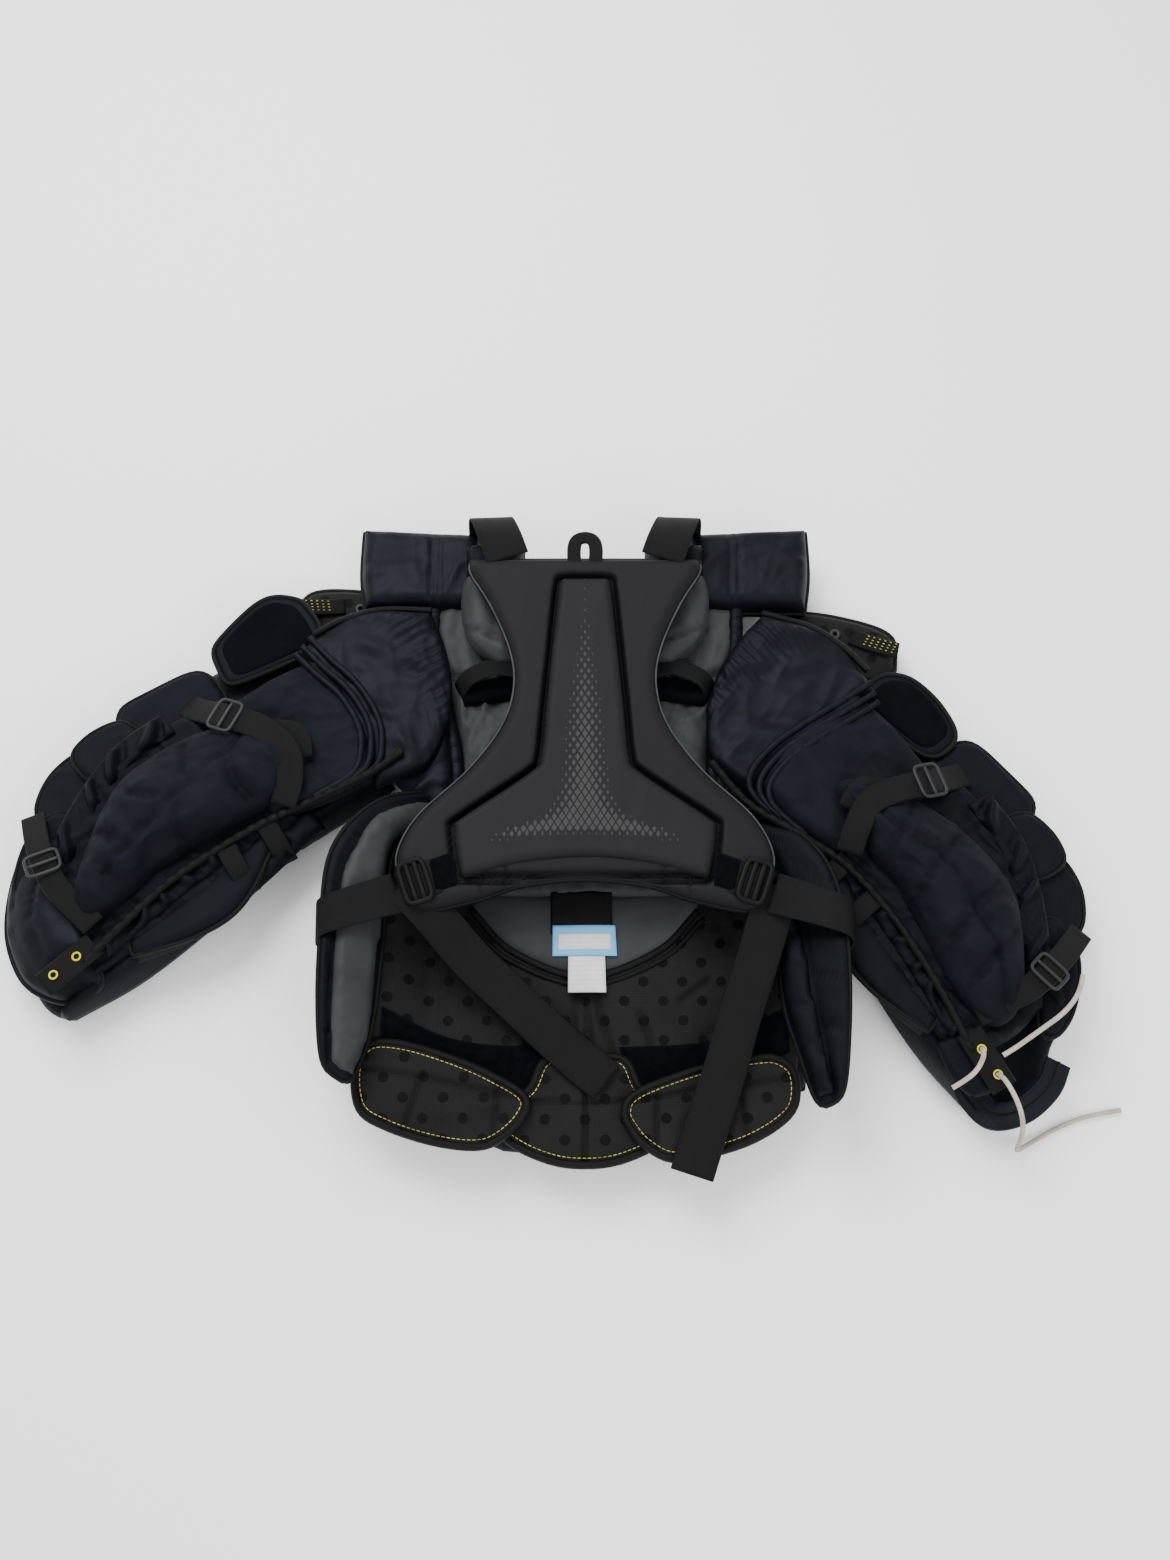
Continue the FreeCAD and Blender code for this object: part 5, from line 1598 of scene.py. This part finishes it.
def make_wrist_band(place):
    """The right sleeve's leather band round its end, with its edge tape and the panel over it."""
    body = "forearm_right"
    route = [(353, -218, 46), (357, -236, 43), (376, -254, 40), (405, -249, 40), (430, -229, 41),
             (441, -206, 44)]
    line = spread(route, 70)
    band = carried("wrist_band_right", line, tape_section(28, 4), (0.25, -0.35, 1))
    dress(band, "leather", body, ("wrist_cuff_right",))
    edge = line + np.array([0, 0, 2.4])
    tape = carried("wrist_band_edge_right", edge, round_section(3, 2.5), (0, 0, 1))
    dress(tape, "binding", body)
    sides = ([(404, -66), (440, -70), (462, -64)], [(462, -64), (466, -44), (462, -28)],
             [(404, -24), (440, -22), (462, -28)], [(404, -66), (404, -24)])
    panel, _ = cushion("wrist_panel_right", sides, level=66, up=6, down=8, edge=8, place=place, step=3)
    dress(panel, "shell", body)


def make_eyelet_tab(suffix):
    """Tab at the sleeve's inner end with its two rolled eyelets."""
    body = f"forearm_{suffix}"
    spots = sleeve_route(suffix, ((410, -36, 78), (436, -37, 79.5), (468, -36, 76)))
    webbing(f"eyelet_tab_{suffix}", spots, 26, body, (f"lace_tab_{suffix}",), depth=3)
    for index, along in enumerate((429, 455)):
        spot = sleeve_spot(suffix, along, -36, 81.4)
        ring = level_ring(f"eyelet_{suffix}_{index}", spot, 3.6, round_section(1.8, 1.8, 8), 28)
        dress(ring, "eyelet", body)


def make_sleeves():
    for suffix in SIDES:
        place = SLEEVE[suffix]
        make_shell(suffix, place)
        make_shoulder_satin(suffix, place)
        make_upper_lining(suffix, place)
        make_dome(suffix, place)
        make_side_gusset(suffix, place)
        make_inner_guard(suffix, place)
        make_outer_pads(suffix, place)
        make_biceps_flap(suffix, place)
        make_shoulder_cap(suffix, place)
        make_upper_strap(suffix)
        make_wrist_strap(suffix)
        if suffix == "left":
            make_wrist_bowl(place)
        else:
            make_wrist_band(place)
        make_eyelet_tab(suffix)


# ---------------------------------------------------------------- floor, sky and lights

FLOOR_SIZE = 12
FLOOR_DEPTH = 0.001
FLOOR_SHADE = 0.95
SKY_STRENGTH = 1.35


def make_studio():
    """A plain pale floor just under the object, a white sky and two soft lamps."""
    bpy.ops.mesh.primitive_plane_add(size=FLOOR_SIZE, location=(0, 0, -FLOOR_DEPTH))
    floor = bpy.context.object
    floor.name = "floor"
    finish = bpy.data.materials.new("pale_floor")
    finish.use_nodes = True
    shader = finish.node_tree.nodes["Principled BSDF"]
    shader.inputs["Base Color"].default_value = (FLOOR_SHADE, FLOOR_SHADE, FLOOR_SHADE, 1)
    shader.inputs["Roughness"].default_value = 0.9
    shader.inputs["Specular IOR Level"].default_value = 0.1
    floor.data.materials.append(finish)
    world = bpy.data.worlds.new("studio")
    world.use_nodes = True
    sky = world.node_tree.nodes["Background"]
    sky.inputs["Color"].default_value = (1, 1, 1, 1)
    sky.inputs["Strength"].default_value = SKY_STRENGTH
    bpy.context.scene.world = world
    make_light("top_softbox", (-0.6, 1.1, 1.9), (0, 0.05, 0), 1.2, 60)
    make_light("front_softbox", (1.0, -1.3, 1.6), (0, 0, 0), 1.0, 22)


make_camera()
make_laces(FINISHES["lace"])
make_chest_foam()
make_belly_foam()
make_flank_foam()
make_belly_net()
make_sternum_crescent()
make_hook_tapes()
make_labels()
make_yoke()
make_underarm_laces()
make_collar()
make_shoulder_blocks()
make_back()
make_tails()
make_wings()
make_belly_flaps()
make_sleeves()
make_studio()
